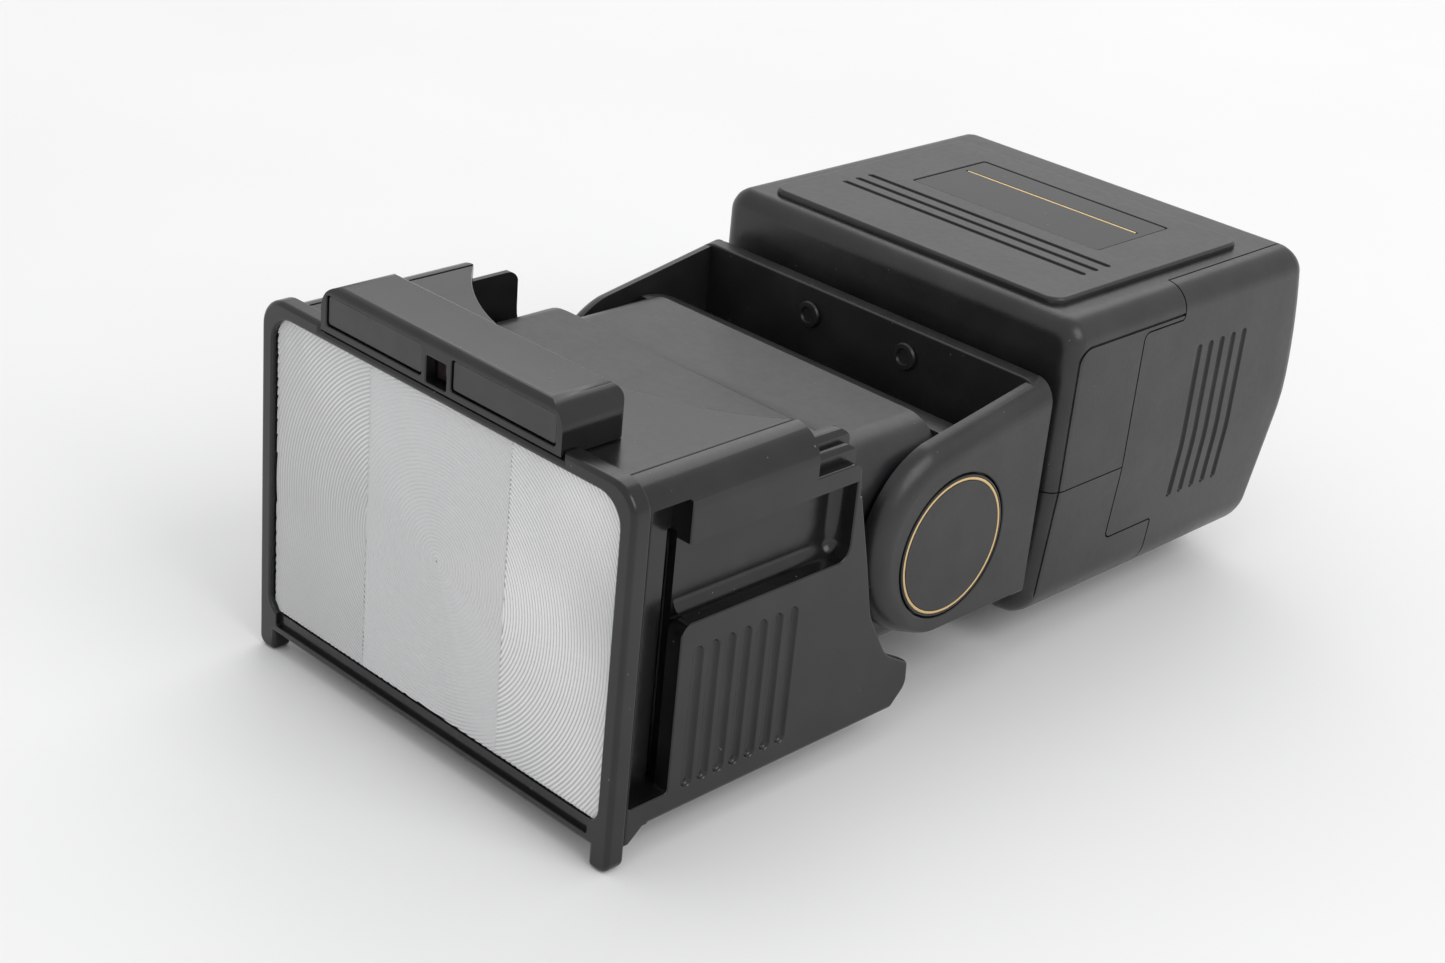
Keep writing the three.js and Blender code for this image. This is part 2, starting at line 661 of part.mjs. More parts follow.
// ---------------------------------------------------------------- sensor module and foot
function sensorModule() {
  const { half, front, back } = MODULE;
  const bed = BODY.bottom + MODULE.bed - GAP;
  const side = prismX([[front, 0, 2.5], [back, 0, 2.5], [back, bed], [front, bed]], -half, half);
  const plan = prismZ([[-half, front, 3], [half, front, 3], [half, back, 3], [-half, back, 3]], -1, 9);
  const eye = rod("z", 4.5, -1, 1.5, 12, 150, 28);
  return cut(side.intersect(plan), eye);
}
function sensorWindow() {
  return turned("z", [[0, 0.5], [4.2, 0.5], [4.2, 1.2], [0, 1.2]], 12, 150, 28);
}
function lockWheel() {
  const { front, back, tip, root, knurls } = WHEEL;
  const shape = new THREE.Shape();
  for (let i = 0; i < knurls * 2; i += 1) {
    const angle = (i * Math.PI) / knurls;
    const radius = i % 2 ? root : tip;
    const [a, b] = [radius * Math.cos(angle), radius * Math.sin(angle)];
    if (i) shape.lineTo(a, b);
    else shape.moveTo(a, b);
  }
  shape.closePath();
  const disc = solid(place(extrude(shape, front, back, 1), Z, X, Y).translate(0, 0, SWIVEL.z));
  return disc.subtract(rod("y", 4, 170, 180, 0, SWIVEL.z, 24));
}
function shoeFoot() {
  const { half, thick, front } = FOOT;
  const z = SWIVEL.z;
  const plate = prismY(
    [[-half, z - 9, 1], [half, z - 9, 1], [half, z + 9, 0.5], [-half, z + 9, 0.5]],
    front,
    front + thick,
  );
  const stem = rod("y", FOOT.stem, 166, front + 0.5, 0, z, 24);
  const pinHole = rod("y", 1.3, 160, 190, 0, z, 16);
  const sidePin = rod("y", 0.9, front - 1, front + 3, 5, z + 4, 12);
  return cut(join(plate, stem), pinHole, sidePin, mirrored(sidePin));
}
function centrePin() {
  return turned("y", [[0, 168], [1, 168], [1, LENGTH - 0.3], [0.6, LENGTH], [0, LENGTH]], 0, SWIVEL.z, 16);
}
function dataPin() {
  const start = FOOT.front + 0.3;
  return rod("y", 0.6, start, LENGTH - 0.1, 5, SWIVEL.z + 4, 12);
}

// ---------------------------------------------------------------- assembly
const sleeve = new THREE.Group();
sleeve.add(
  named("front_frame", frontFrame(), MATERIAL.satin),
  named("fresnel_lens", fresnelLens(), MATERIAL.clear),
  named("scale_housing", scaleHousing(), MATERIAL.satin),
  ...pair("scale_label", labelPanel(), MATERIAL.label),
  named("indicator_window", indicatorWindow(), MATERIAL.smoke),
  named("hood_top", sleeveTop(), MATERIAL.satin),
  named("hood_bottom", sleeveBottom(), MATERIAL.satin),
  ...pair("hood_side", sleeveSide(), MATERIAL.satin),
);

const shells = headShells();
const head = new THREE.Group();
head.add(
  named("head_top_shell", shells.upper, MATERIAL.matte),
  named("head_bottom_shell", shells.lower, MATERIAL.matte),
  named("head_drum", headDrum(), MATERIAL.matte),
  named("inner_window", innerWindow(), MATERIAL.clear),
  named("reflector", reflectorTrough(), MATERIAL.mirror),
  named("flash_tube", rod("x", 1.7, -27, 27, 33, HEAD.split, 20), MATERIAL.clear),
  ...pair("tube_electrode", rod("x", 2.1, 27.3, 29.9, 33, HEAD.split, 20), MATERIAL.steel),
  named("trigger_coil", triggerCoil(), MATERIAL.copper),
  named("head_circuit_board", headBoard(), MATERIAL.board),
  sleeve,
);

const yoke = new THREE.Group();
yoke.add(
  named("yoke_bracket", yokeBracket(), MATERIAL.matte),
  ...pair("cover_disc", coverDisc(), MATERIAL.satin),
  ...pair("ring_inlay", ringInlay(), MATERIAL.gold),
  ...pair("tilt_pin", tiltPin(), MATERIAL.steel),
  ...pair("yoke_screw", yokeScrew(), MATERIAL.matte),
  named("swivel_plate", swivelPlate(), MATERIAL.dark),
  named("swivel_axle", swivelAxle(), MATERIAL.dark),
  named("retaining_ring", retainingRing(), MATERIAL.steel),
  head,
);

const casing = bodyShells();
const body = new THREE.Group();
body.add(
  named("rear_cover", casing.upper, MATERIAL.matte),
  named("front_cover", casing.lower, MATERIAL.matte),
  named("battery_door", batteryDoor(), MATERIAL.matte),
  named("nameplate", nameplate(), MATERIAL.gloss),
  named("nameplate_rule", nameplateRule(), MATERIAL.gold),
  named("circuit_board", circuitBoard(), MATERIAL.board),
  named("main_capacitor", mainCapacitor(), MATERIAL.foil),
  named("transformer", transformer(), MATERIAL.copper),
  named("contact_plate_inner", contactPlate(-17.3, 0.8), MATERIAL.steel),
  named("contact_plate_door", contactPlate(35.2, 0.8), MATERIAL.steel),
  named("control_panel", controlPanel(), MATERIAL.satin),
  named("power_switch", slider(134, 47), MATERIAL.gloss),
  named("mode_selector", slider(134, 38), MATERIAL.gloss),
  named("test_button", testButton(), MATERIAL.gloss),
  named("ready_lamp", readyLamp(), MATERIAL.lamp),
  named("sync_socket", syncSocket(), MATERIAL.steel),
  named("sensor_module", sensorModule(), MATERIAL.satin),
  named("sensor_window", sensorWindow(), MATERIAL.smoke),
  named("lock_wheel", lockWheel(), MATERIAL.gloss),
  named("shoe_foot", shoeFoot(), MATERIAL.dark),
  named("centre_contact", centrePin(), MATERIAL.gold),
  ...pair("data_contact", dataPin(), MATERIAL.gold),
  yoke,
);
[0, 1].forEach((row) => {
  [0, 1].forEach((column) => {
    const number = row * 2 + column + 1;
    body.add(named("battery_cell_" + number, cellAt(row, column), MATERIAL.cell));
  });
});

const flash = new THREE.Group();
body.position.y = -LENGTH / 2;
flash.add(body);

export default flash;
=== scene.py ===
# %% [markdown]
# # A shoe-mount flash with a tilting head, made in cells
#
# The flash lies on its back on a pale table. Its working model (bodies, joints, sizes) is
# already built and is loaded first as a fixed frame. This lesson gives that frame its looks:
# every visible shell is worked out again as a fine surface with soft edges, and every
# material is made from nodes, so the plastic has grain, fingerprints and a little dust.

import bpy
import numpy as np
from mathutils import Matrix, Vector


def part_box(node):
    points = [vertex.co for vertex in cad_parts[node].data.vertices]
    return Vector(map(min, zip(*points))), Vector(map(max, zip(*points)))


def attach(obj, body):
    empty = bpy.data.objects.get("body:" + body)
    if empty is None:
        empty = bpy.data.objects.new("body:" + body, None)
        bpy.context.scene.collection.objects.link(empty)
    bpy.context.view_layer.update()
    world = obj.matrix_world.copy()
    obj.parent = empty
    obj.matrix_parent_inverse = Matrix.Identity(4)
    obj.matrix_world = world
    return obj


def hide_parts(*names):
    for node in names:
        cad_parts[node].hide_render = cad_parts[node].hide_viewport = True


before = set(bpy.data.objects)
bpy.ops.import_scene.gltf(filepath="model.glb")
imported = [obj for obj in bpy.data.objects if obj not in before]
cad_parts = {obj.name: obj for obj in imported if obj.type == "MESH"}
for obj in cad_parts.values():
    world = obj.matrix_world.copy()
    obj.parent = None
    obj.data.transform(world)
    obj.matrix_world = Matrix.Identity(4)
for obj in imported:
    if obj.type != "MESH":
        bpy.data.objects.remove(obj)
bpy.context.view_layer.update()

MM = 0.001
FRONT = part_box("front_frame")[0].y  # the face of the window frame, in metres
print("nodes:", len(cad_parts), "front face at y =", round(FRONT, 4))

# %% [markdown]
# ## Outlines
#
# Moulded parts are mostly flat outlines with rounded corners, carried along a line. The
# drawing units here are millimetres, with y = 0 at the window and z = 0 on the table.
# A corner is written (a, b, radius). The arc in it touches both sides, so its centre lies on
# the corner's bisector, radius / sin(half angle) away from the corner.


# %% Rounded outlines
ARC_STEP = np.radians(7.5)


def unit(vectors):
    """Each row divided by its length."""
    return vectors / np.linalg.norm(vectors, axis=-1, keepdims=True)


def corner_arc(before, corner, after, radius):
    """Points of the arc that rounds one corner, from one tangent point to the other."""
    back, ahead = unit(before - corner), unit(after - corner)
    half = np.arccos(np.clip(back @ ahead, -1, 1)) / 2
    centre = corner + unit(back + ahead) * radius / np.sin(half)
    start = corner + back * radius / np.tan(half) - centre
    sweep = np.pi - 2 * half
    turn = -np.sign(back[0] * ahead[1] - back[1] * ahead[0]) * sweep
    angles = np.linspace(0, turn, max(3, int(np.ceil(sweep / ARC_STEP)) + 1))
    cos, sin = np.cos(angles), np.sin(angles)
    arc = np.column_stack([start[0] * cos - start[1] * sin, start[0] * sin + start[1] * cos])
    return centre + arc


def outline(corners):
    """A closed outline, anticlockwise, from (a, b) or (a, b, radius) corners."""
    spots = np.array([c[:2] for c in corners], float)
    stretches = []
    for k, corner in enumerate(corners):
        if len(corner) < 3:
            stretches.append(spots[k : k + 1])
            continue
        following = spots[(k + 1) % len(spots)]
        stretches.append(corner_arc(spots[k - 1], spots[k], following, corner[2]))
    points = np.concatenate(stretches)
    a, b = points.T
    area = np.sum(a * np.roll(b, -1) - b * np.roll(a, -1))
    return points if area > 0 else points[::-1]


def rectangle(a0, a1, b0, b1, radius=0.0):
    """A rectangle's outline, with all its corners rounded alike."""
    corners = [(a0, b0), (a1, b0), (a1, b1), (a0, b1)]
    return outline([(a, b, radius) for a, b in corners] if radius else corners)


def circle(a, b, radius, count=72):
    """A circle's outline."""
    angles = np.linspace(0, 2 * np.pi, count, endpoint=False)
    return np.column_stack([a + radius * np.cos(angles), b + radius * np.sin(angles)])


def inset(points, distance):
    """The outline moved inwards: each point goes along its bisector by distance / cos(half turn)."""
    ahead = unit(np.roll(points, -1, 0) - points)
    behind = np.roll(ahead, 1, 0)
    inward = np.column_stack([-ahead[:, 1] - behind[:, 1], ahead[:, 0] + behind[:, 0]])
    inward = unit(inward)
    cosine = inward[:, 0] * -ahead[:, 1] + inward[:, 1] * ahead[:, 0]
    return points + inward * distance / np.maximum(cosine, 0.35)[:, None]


# %% [markdown]
# ## Lofts
#
# A loft carries an outline through a list of levels. Each level says how far the outline has
# moved inwards and how far along the axis it lies. A quarter circle of levels rounds an end
# of a part; the same quarter circle turned outwards on a cutter rounds the mouth of a hole.
# The faces are index arithmetic on a grid of (level, point), with one flat face at each end.


# %% Lofts and their levels
AXES = {"x": (1, 2, 0), "y": (0, 2, 1), "z": (0, 1, 2)}  # drawn first, drawn second, carried along


def rounded_levels(low, high, at_low=0.0, at_high=0.0, steps=5):
    """Levels of a straight part whose ends are rounded by quarter circles of these radii."""
    angle = np.linspace(0, np.pi / 2, steps)
    levels = []
    if at_low:
        levels += list(zip(at_low * (1 - np.sin(angle)), low + at_low * (1 - np.cos(angle))))
    else:
        levels.append((0.0, low))
    if at_high:
        angle = angle[::-1]
        levels += list(zip(at_high * (1 - np.sin(angle)), high - at_high * (1 - np.cos(angle))))
    else:
        levels.append((0.0, high))
    return levels


def mouth_levels(floor, mouth, radius, steps=5):
    """Levels of a cutter from a hole's floor out through its mouth, whose lip it rounds."""
    way = np.sign(mouth - floor)
    angle = np.linspace(0, np.pi / 2, steps)
    outwards = -radius * (1 - np.cos(angle))
    along = mouth - way * radius * (1 - np.sin(angle))
    return [(0.0, floor), *zip(outwards, along), (-radius, mouth + way)]


def new_piece(name, points, faces):
    """A mesh object from points in millimetres, with its faces turned outwards."""
    metres = np.asarray(points, float) * MM
    metres[:, 1] += FRONT
    mesh = bpy.data.meshes.new(name)
    mesh.from_pydata(metres.tolist(), [], faces)
    mesh.validate()
    mesh.calc_loop_triangles()
    corners = np.zeros(len(mesh.loop_triangles) * 3, np.int32)
    mesh.loop_triangles.foreach_get("vertices", corners)
    a, b, c = metres[corners.reshape(-1, 3)].transpose(1, 0, 2)
    if np.einsum("ij,ij->", a, np.cross(b, c)) < 0:
        mesh.flip_normals()
    piece = bpy.data.objects.new(name, mesh)
    bpy.context.scene.collection.objects.link(piece)
    return piece


def stack(name, rings):
    """A closed piece from a list of equal rings of points, shaped (level, point, 3)."""
    rings = np.asarray(rings, float)
    count, size = rings.shape[:2]
    index = np.arange(count * size).reshape(count, size)
    beside = np.roll(index, -1, 1)
    walls = np.stack([index[:-1], beside[:-1], beside[1:], index[1:]], -1).reshape(-1, 4)
    faces = [*walls.tolist(), index[0][::-1].tolist(), index[-1].tolist()]
    return new_piece(name, rings.reshape(-1, 3), faces)


def loft(name, points, levels, axis, weight=1.0):
    """The outline carried along an axis. It is drawn in (y, z) for x, (x, z) for y, (x, y) for z.
    weight, one number per point, makes the inward moves smaller on part of the outline."""
    rings = np.zeros((len(levels), len(points), 3))
    for ring, (distance, place) in zip(rings, levels):
        flat = points + (inset(points, distance) - points) * np.reshape(weight, (-1, 1))
        ring[:, AXES[axis]] = np.column_stack([flat, np.full(len(flat), place)])
    return stack(name, rings)


def block(x0, x1, y0, y1, z0, z1):
    """A plain box, used only as a cutter."""
    return loft("cutter", rectangle(x0, x1, y0, y1), [(0, z0), (0, z1)], "z")


def spun(profile, axis, a, b, count):
    """Rings of points: each (radius, place) of the profile spun round an axis through (a, b)."""
    rings = np.zeros((len(profile), count, 3))
    for ring, (radius, place) in zip(rings, profile):
        ring[:, AXES[axis]] = np.column_stack([circle(a, b, radius, count), np.full(count, place)])
    return rings


def turned(name, profile, axis, a, b, count=96):
    """A turned piece, with a flat face at each end of its profile."""
    return stack(name, spun(profile, axis, a, b, count))


def hoop(name, profile, axis, a, b, count=128):
    """A ring: a closed profile spun round an axis, closed both ways."""
    rings = spun(profile, axis, a, b, count)
    index = np.arange(len(profile) * count).reshape(-1, count)
    above, beside = np.roll(index, -1, 0), np.roll(index, -1, 1)
    faces = np.stack([index, beside, np.roll(above, -1, 1), above], -1).reshape(-1, 4)
    return new_piece(name, rings.reshape(-1, 3), faces.tolist())


# %% [markdown]
# ## Cutting and joining
#
# The moulder's steel adds and takes away whole blocks, and Boolean modifiers do the same to
# closed meshes. Each piece is cut with all its tools at once and the result is made its own
# mesh. Edges sharper than a set angle stay crisp, and face-weighted normals keep the flat
# faces flat, so that only the rounded edges catch the light.


# %% Cutting, mirroring and finishing
def settle(piece):
    """Replaces a piece's mesh by what its modifiers make of it."""
    graph = bpy.context.evaluated_depsgraph_get()
    made = bpy.data.meshes.new_from_object(piece.evaluated_get(graph))
    made.name = piece.name
    piece.modifiers.clear()
    piece.data = made
    return piece


def shape(piece, tools, operation):
    """The piece cut by, joined with or kept inside the tools, which are used up."""
    for tool in tools:
        step = piece.modifiers.new("shape", "BOOLEAN")
        step.operation = operation
        step.solver = "MANIFOLD"
        step.object = tool
    settle(piece)
    for tool in tools:
        bpy.data.objects.remove(tool)
    return piece


def cut(piece, *tools):
    return shape(piece, tools, "DIFFERENCE")


def join(piece, *tools):
    return shape(piece, tools, "UNION")


def common(piece, *tools):
    return shape(piece, tools, "INTERSECT")


def twin(piece, name, flip=False):
    """A copy of a piece; with flip, its mirror image across x = 0, turned right side out."""
    copy = piece.copy()
    copy.data = piece.data.copy()
    copy.name = copy.data.name = name
    bpy.context.scene.collection.objects.link(copy)
    if flip:
        places = np.zeros(len(copy.data.vertices) * 3)
        copy.data.vertices.foreach_get("co", places)
        places[0::3] *= -1
        copy.data.vertices.foreach_set("co", places)
        copy.data.flip_normals()
    return copy


pieces_made = []


def hand_over(piece, material, slot, body, *nodes, sharp=32, weighted=True):
    """Smooths a finished piece, gives it its material, and ties it to the frame."""
    mesh = piece.data
    mesh.materials.clear()
    mesh.materials.append(material)
    mesh.polygons.foreach_set("use_smooth", np.ones(len(mesh.polygons), bool))
    mesh.set_sharp_from_angle(angle=np.radians(sharp))
    if weighted:
        even = piece.modifiers.new("even_normals", "WEIGHTED_NORMAL")
        even.keep_sharp = True
    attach(piece, body)
    if nodes:
        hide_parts(*nodes)
    pieces_made.append(piece)
    print(f"{piece.name}: {len(mesh.polygons)} faces")
    return piece


# %% [markdown]
# ## Shared effects for the materials
#
# Three effects come up in many finishes, so each is a node group with named inputs:
# a fine moulded grain for bump and gloss, soft smudges that vary the gloss, and
# sparse dust specks. Groups give out only values that change over the surface. Every group
# reads Object coordinates, which are metres here, so a scale of 1000 is one cell per mm.


# %% Node group helpers
def group(name, inputs, outputs):
    """An empty shader node group with float sockets; returns it with its ends."""
    tree = bpy.data.node_groups.new(name, "ShaderNodeTree")
    for label, value in inputs:
        socket = tree.interface.new_socket(label, in_out="INPUT", socket_type="NodeSocketFloat")
        socket.default_value = value
    for label in outputs:
        tree.interface.new_socket(label, in_out="OUTPUT", socket_type="NodeSocketFloat")
    return tree, tree.nodes.new("NodeGroupInput"), tree.nodes.new("NodeGroupOutput")


def noise(tree, scale, detail=2.0, rough=0.5, stretch=None):
    """A noise texture on Object coordinates; scale is in cells per metre."""
    place = tree.nodes.new("ShaderNodeTexCoord")
    texture = tree.nodes.new("ShaderNodeTexNoise")
    texture.inputs["Detail"].default_value = detail
    texture.inputs["Roughness"].default_value = rough
    texture.inputs["Scale"].default_value = scale
    source = place.outputs["Object"]
    if stretch:
        mapping = tree.nodes.new("ShaderNodeMapping")
        mapping.inputs["Scale"].default_value = stretch
        tree.links.new(source, mapping.inputs["Vector"])
        source = mapping.outputs["Vector"]
    tree.links.new(source, texture.inputs["Vector"])
    return texture.outputs["Fac"]


def ramp(tree, value, low, high, to_low=0.0, to_high=1.0):
    """Maps low..high to to_low..to_high, smoothly and clamped."""
    node = tree.nodes.new("ShaderNodeMapRange")
    node.interpolation_type = "SMOOTHSTEP"
    tree.links.new(value, node.inputs["Value"])
    for label, number in zip(("From Min", "From Max", "To Min", "To Max"), (low, high, to_low, to_high)):
        node.inputs[label].default_value = number
    return node.outputs["Result"]


def math(tree, operation, first, second):
    """One Math node; each operand is a socket or a number."""
    node = tree.nodes.new("ShaderNodeMath")
    node.operation = operation
    for k, operand in enumerate((first, second)):
        if isinstance(operand, (int, float)):
            node.inputs[k].default_value = operand
        else:
            tree.links.new(operand, node.inputs[k])
    return node.outputs[0]


# %% Grain, smudges and dust
def grain_group():
    """Height of a moulded grain: cells of about a fifth of a millimetre on softer waves."""
    tree, start, end = group("moulded_grain", [("Scale", 4200.0), ("Strength", 1.0)], ["Height"])
    place = tree.nodes.new("ShaderNodeTexCoord")
    cells = tree.nodes.new("ShaderNodeTexVoronoi")
    cells.feature = "SMOOTH_F1"
    tree.links.new(place.outputs["Object"], cells.inputs["Vector"])
    tree.links.new(start.outputs["Scale"], cells.inputs["Scale"])
    waves = noise(tree, 900.0, 3.0, 0.6)
    mixed = math(tree, "ADD", cells.outputs["Distance"], math(tree, "MULTIPLY", waves, 0.8))
    tree.links.new(math(tree, "MULTIPLY", mixed, start.outputs["Strength"]), end.inputs["Height"])
    return tree


def smudge_group():
    """How greasy or wiped the surface is, 0 to 1, in patches with a streaky edge."""
    tree, start, end = group("handling_smudges", [("Amount", 1.0)], ["Mask"])
    patches = ramp(tree, noise(tree, 38.0, 4.0, 0.6), 0.42, 0.68)
    streaks = ramp(tree, noise(tree, 160.0, 5.0, 0.65, stretch=(1.0, 0.35, 1.4)), 0.35, 0.75)
    mask = math(tree, "MULTIPLY", math(tree, "MULTIPLY", patches, streaks), start.outputs["Amount"])
    tree.links.new(mask, end.inputs["Mask"])
    return tree


def dust_group():
    """Sparse pale specks, 0 or 1, a tenth to a third of a millimetre across."""
    tree, start, end = group("dust_specks", [("Amount", 1.0)], ["Mask"])
    place = tree.nodes.new("ShaderNodeTexCoord")
    masks = []
    for scale, size in ((520.0, 0.075), (240.0, 0.05)):
        specks = tree.nodes.new("ShaderNodeTexVoronoi")
        specks.inputs["Scale"].default_value = scale
        tree.links.new(place.outputs["Object"], specks.inputs["Vector"])
        dot = ramp(tree, specks.outputs["Distance"], size * 0.6, size, 1.0, 0.0)
        chosen = tree.nodes.new("ShaderNodeSeparateColor")
        tree.links.new(specks.outputs["Color"], chosen.inputs["Color"])
        rare = math(tree, "GREATER_THAN", chosen.outputs["Red"], 0.72)
        masks.append(math(tree, "MULTIPLY", dot, rare))
    both = math(tree, "MAXIMUM", masks[0], masks[1])
    tree.links.new(math(tree, "MULTIPLY", both, start.outputs["Amount"]), end.inputs["Mask"])
    return tree


GRAIN, SMUDGES, DUST = grain_group(), smudge_group(), dust_group()
print("node groups:", [g.name for g in (GRAIN, SMUDGES, DUST)])

# %% [markdown]
# ## Plastics
#
# All the shells are black plastic, but not one black. The head, yoke and body have a fine
# matt grain; the hood and the frame are smoother and a little glossier; buttons are polished.
# One function makes them all: a dark base colour with faint mottling and dust, a roughness
# that smudges lower and grain raises, and a bump from the grain.


# %% The plastic maker
DUST_COLOUR = (0.30, 0.29, 0.27)
GRAIN_DEPTH = 0.00006  # metres


def place_group(tree, which, **values):
    node = tree.nodes.new("ShaderNodeGroup")
    node.node_tree = which
    for label, number in values.items():
        node.inputs[label].default_value = number
    return node


def mix_colour(tree, mask, first, second):
    """Mixes two colours by a mask; each is a socket or three numbers."""
    node = tree.nodes.new("ShaderNodeMix")
    node.data_type = "RGBA"
    tree.links.new(mask, node.inputs["Factor"])
    for label, colour in (("A", first), ("B", second)):
        socket = next(s for s in node.inputs if s.name == label and s.type == "RGBA")
        if isinstance(colour, tuple):
            socket.default_value = (*colour, 1)
        else:
            tree.links.new(colour, socket)
    return next(s for s in node.outputs if s.type == "RGBA")


def bump(tree, height, strength, depth):
    """A Bump node; depth is the real height of the relief, in metres."""
    node = tree.nodes.new("ShaderNodeBump")
    node.inputs["Strength"].default_value = strength
    node.inputs["Distance"].default_value = depth
    tree.links.new(height, node.inputs["Height"])
    return node.outputs["Normal"]


def shader(name, **constants):
    """A material with one Principled BSDF; constants are set on its own sockets."""
    material = bpy.data.materials.new(name)
    material.use_nodes = True
    base = material.node_tree.nodes["Principled BSDF"]
    for label, number in constants.items():
        base.inputs[label.replace("_", " ")].default_value = number
    return material, material.node_tree, base


def plastic(name, colour, roughness, grain=0.25, dust=0.6, smudges=0.45, scale=4200.0):
    """Black moulded plastic with grain, smudges and dust."""
    material, tree, base = shader(name, IOR=1.5)
    pale = tuple(c * 1.5 + 0.002 for c in colour)
    mottled = mix_colour(tree, ramp(tree, noise(tree, 120.0, 4.0), 0.3, 0.75), colour, pale)
    specks = place_group(tree, DUST, Amount=dust).outputs["Mask"]
    dusty = mix_colour(tree, math(tree, "MULTIPLY", specks, 0.55), mottled, DUST_COLOUR)
    tree.links.new(dusty, base.inputs["Base Color"])
    wiped = place_group(tree, SMUDGES, Amount=smudges).outputs["Mask"]
    uneven = ramp(tree, noise(tree, 700.0, 3.0), 0.3, 0.7, roughness - 0.02, roughness + 0.03)
    glossier = math(tree, "SUBTRACT", uneven, math(tree, "MULTIPLY", wiped, 0.07))
    rough = math(tree, "MAXIMUM", glossier, math(tree, "MULTIPLY", specks, 0.8))
    tree.links.new(rough, base.inputs["Roughness"])
    relief = place_group(tree, GRAIN, Scale=scale, Strength=1.0).outputs["Height"]
    tree.links.new(bump(tree, relief, grain, GRAIN_DEPTH), base.inputs["Normal"])
    return material


FINE_GRAIN = plastic("fine_grained_plastic", (0.0125, 0.0125, 0.0135), 0.33, grain=0.22)
SATIN = plastic("satin_plastic", (0.0055, 0.0055, 0.006), 0.22, grain=0.05)
GLOSS = plastic("gloss_plastic", (0.004, 0.004, 0.005), 0.12, grain=0.02, dust=0.9)
DULL = plastic("dull_plastic", (0.010, 0.010, 0.010), 0.55, grain=0.6)
LABEL = plastic("label_film", (0.020, 0.020, 0.021), 0.34, grain=0.08, scale=9000.0)

# %% [markdown]
# ## Metals, clear parts and the inside
#
# Gold trim and contacts are metal with fine scratches. The window is clear acrylic whose
# ridges are modelled, and the parts that show through gaps get plain but honest finishes.


# %% Metals and windows
def metal(name, colour, roughness, streak=(1.0, 12.0, 12.0), depth=0.00002):
    """Metal with fine drawn lines along one axis, which vary its gloss and its surface."""
    material, tree, base = shader(name, Metallic=1.0)
    lines = noise(tree, 900.0, 4.0, 0.7, stretch=streak)
    darker = tuple(c * 0.8 for c in colour)
    tree.links.new(mix_colour(tree, lines, darker, colour), base.inputs["Base Color"])
    tree.links.new(ramp(tree, lines, 0.3, 0.7, roughness * 0.7, roughness * 1.4), base.inputs["Roughness"])
    tree.links.new(bump(tree, lines, 0.3, depth), base.inputs["Normal"])
    return material


def clear(name, colour, roughness, transmission):
    """Clear or tinted plastic, with faint haze patches in its gloss."""
    material, tree, base = shader(name, IOR=1.49, Transmission_Weight=transmission)
    haze = ramp(tree, noise(tree, 300.0, 3.0), 0.4, 0.7, roughness, roughness + 0.06)
    tree.links.new(haze, base.inputs["Roughness"])
    tinted = mix_colour(tree, noise(tree, 60.0), colour, tuple(c * 0.92 for c in colour))
    tree.links.new(tinted, base.inputs["Base Color"])
    return material


GOLD = metal("gold_trim", (0.86, 0.62, 0.30), 0.28)
STEEL = metal("plain_steel", (0.62, 0.62, 0.63), 0.30)
FOIL = metal("reflector_foil", (0.93, 0.93, 0.94), 0.16)
COPPER = metal("copper_winding", (0.62, 0.28, 0.13), 0.35, streak=(14.0, 1.0, 1.0), depth=0.0001)
GLASS_TUBE = clear("tube_glass", (0.95, 0.96, 0.96), 0.03, 1.0)
SMOKED = clear("smoked_window", (0.030, 0.018, 0.020), 0.06, 0.25)
LAMP = clear("lamp_lens", (0.75, 0.16, 0.03), 0.10, 0.3)
BOARD = plastic("circuit_board", (0.02, 0.10, 0.04), 0.35, dust=0.2)
SHRINK = plastic("capacitor_sleeve", (0.012, 0.016, 0.024), 0.25, dust=0.2)
JACKET = plastic("cell_jacket", (0.30, 0.02, 0.02), 0.25, dust=0.2)

# %% [markdown]
# ## The window: a Fresnel lens in three panels
#
# The lens is one plate of acrylic with fine rings cut into it. Each ring is a short cone, so
# the plate bends light like a thick lens. There are three panels side by side, each with
# rings round its own centre. A panel is worked out as a polar grid of (ring, angle); every
# point outside the panel's rectangle is clamped to its edge, faces that have collapsed there
# are dropped, and a flat back and a rim close the plate.


# %% Lens material
RING_PITCH, RING_DEPTH = 0.62, 0.14


def lens_material(name, centre_x, centre_z, low, high):
    """Pale, partly see-through acrylic with painted ring highlights: its colour swings between low,
    the painted shade, and high, the painted highlight, once per ring: sine of 2 pi r / pitch, with r the
    distance from the rings' centre, stronger and fainter in patches."""
    material, tree, base = shader(name, IOR=1.49, Transmission_Weight=0.12)
    place = tree.nodes.new("ShaderNodeTexCoord")
    centred = tree.nodes.new("ShaderNodeMapping")
    centred.inputs["Location"].default_value = (-centre_x * MM, 0, -centre_z * MM)
    rings = tree.nodes.new("ShaderNodeTexWave")
    rings.wave_type = "RINGS"
    rings.rings_direction = "Y"
    rings.inputs["Scale"].default_value = 2 * np.pi / (20 * RING_PITCH * MM)
    tree.links.new(place.outputs["Object"], centred.inputs["Vector"])
    tree.links.new(centred.outputs["Vector"], rings.inputs["Vector"])
    # Painted highlight strength: the swing of the painted rings is made stronger or fainter in patches by
    # noise.
    sheen_strength = ramp(tree, noise(tree, 30.0, 2.0), 0.3, 0.7, 0.55, 1.0)
    painted_sheen_swing = math(tree, "MULTIPLY", rings.outputs["Fac"], sheen_strength)
    # Painted highlight and shade: the rings' light and dark are painted into the base colour, the darker
    # tone a little bluer.
    painted_ring_sheen = mix_colour(tree, painted_sheen_swing, (low * 0.985, low * 0.995, low), (high, high, high * 0.995))
    tree.links.new(painted_ring_sheen, base.inputs["Base Color"])
    tree.links.new(ramp(tree, noise(tree, 200.0, 3.0), 0.4, 0.7, 0.10, 0.16), base.inputs["Roughness"])
    return material


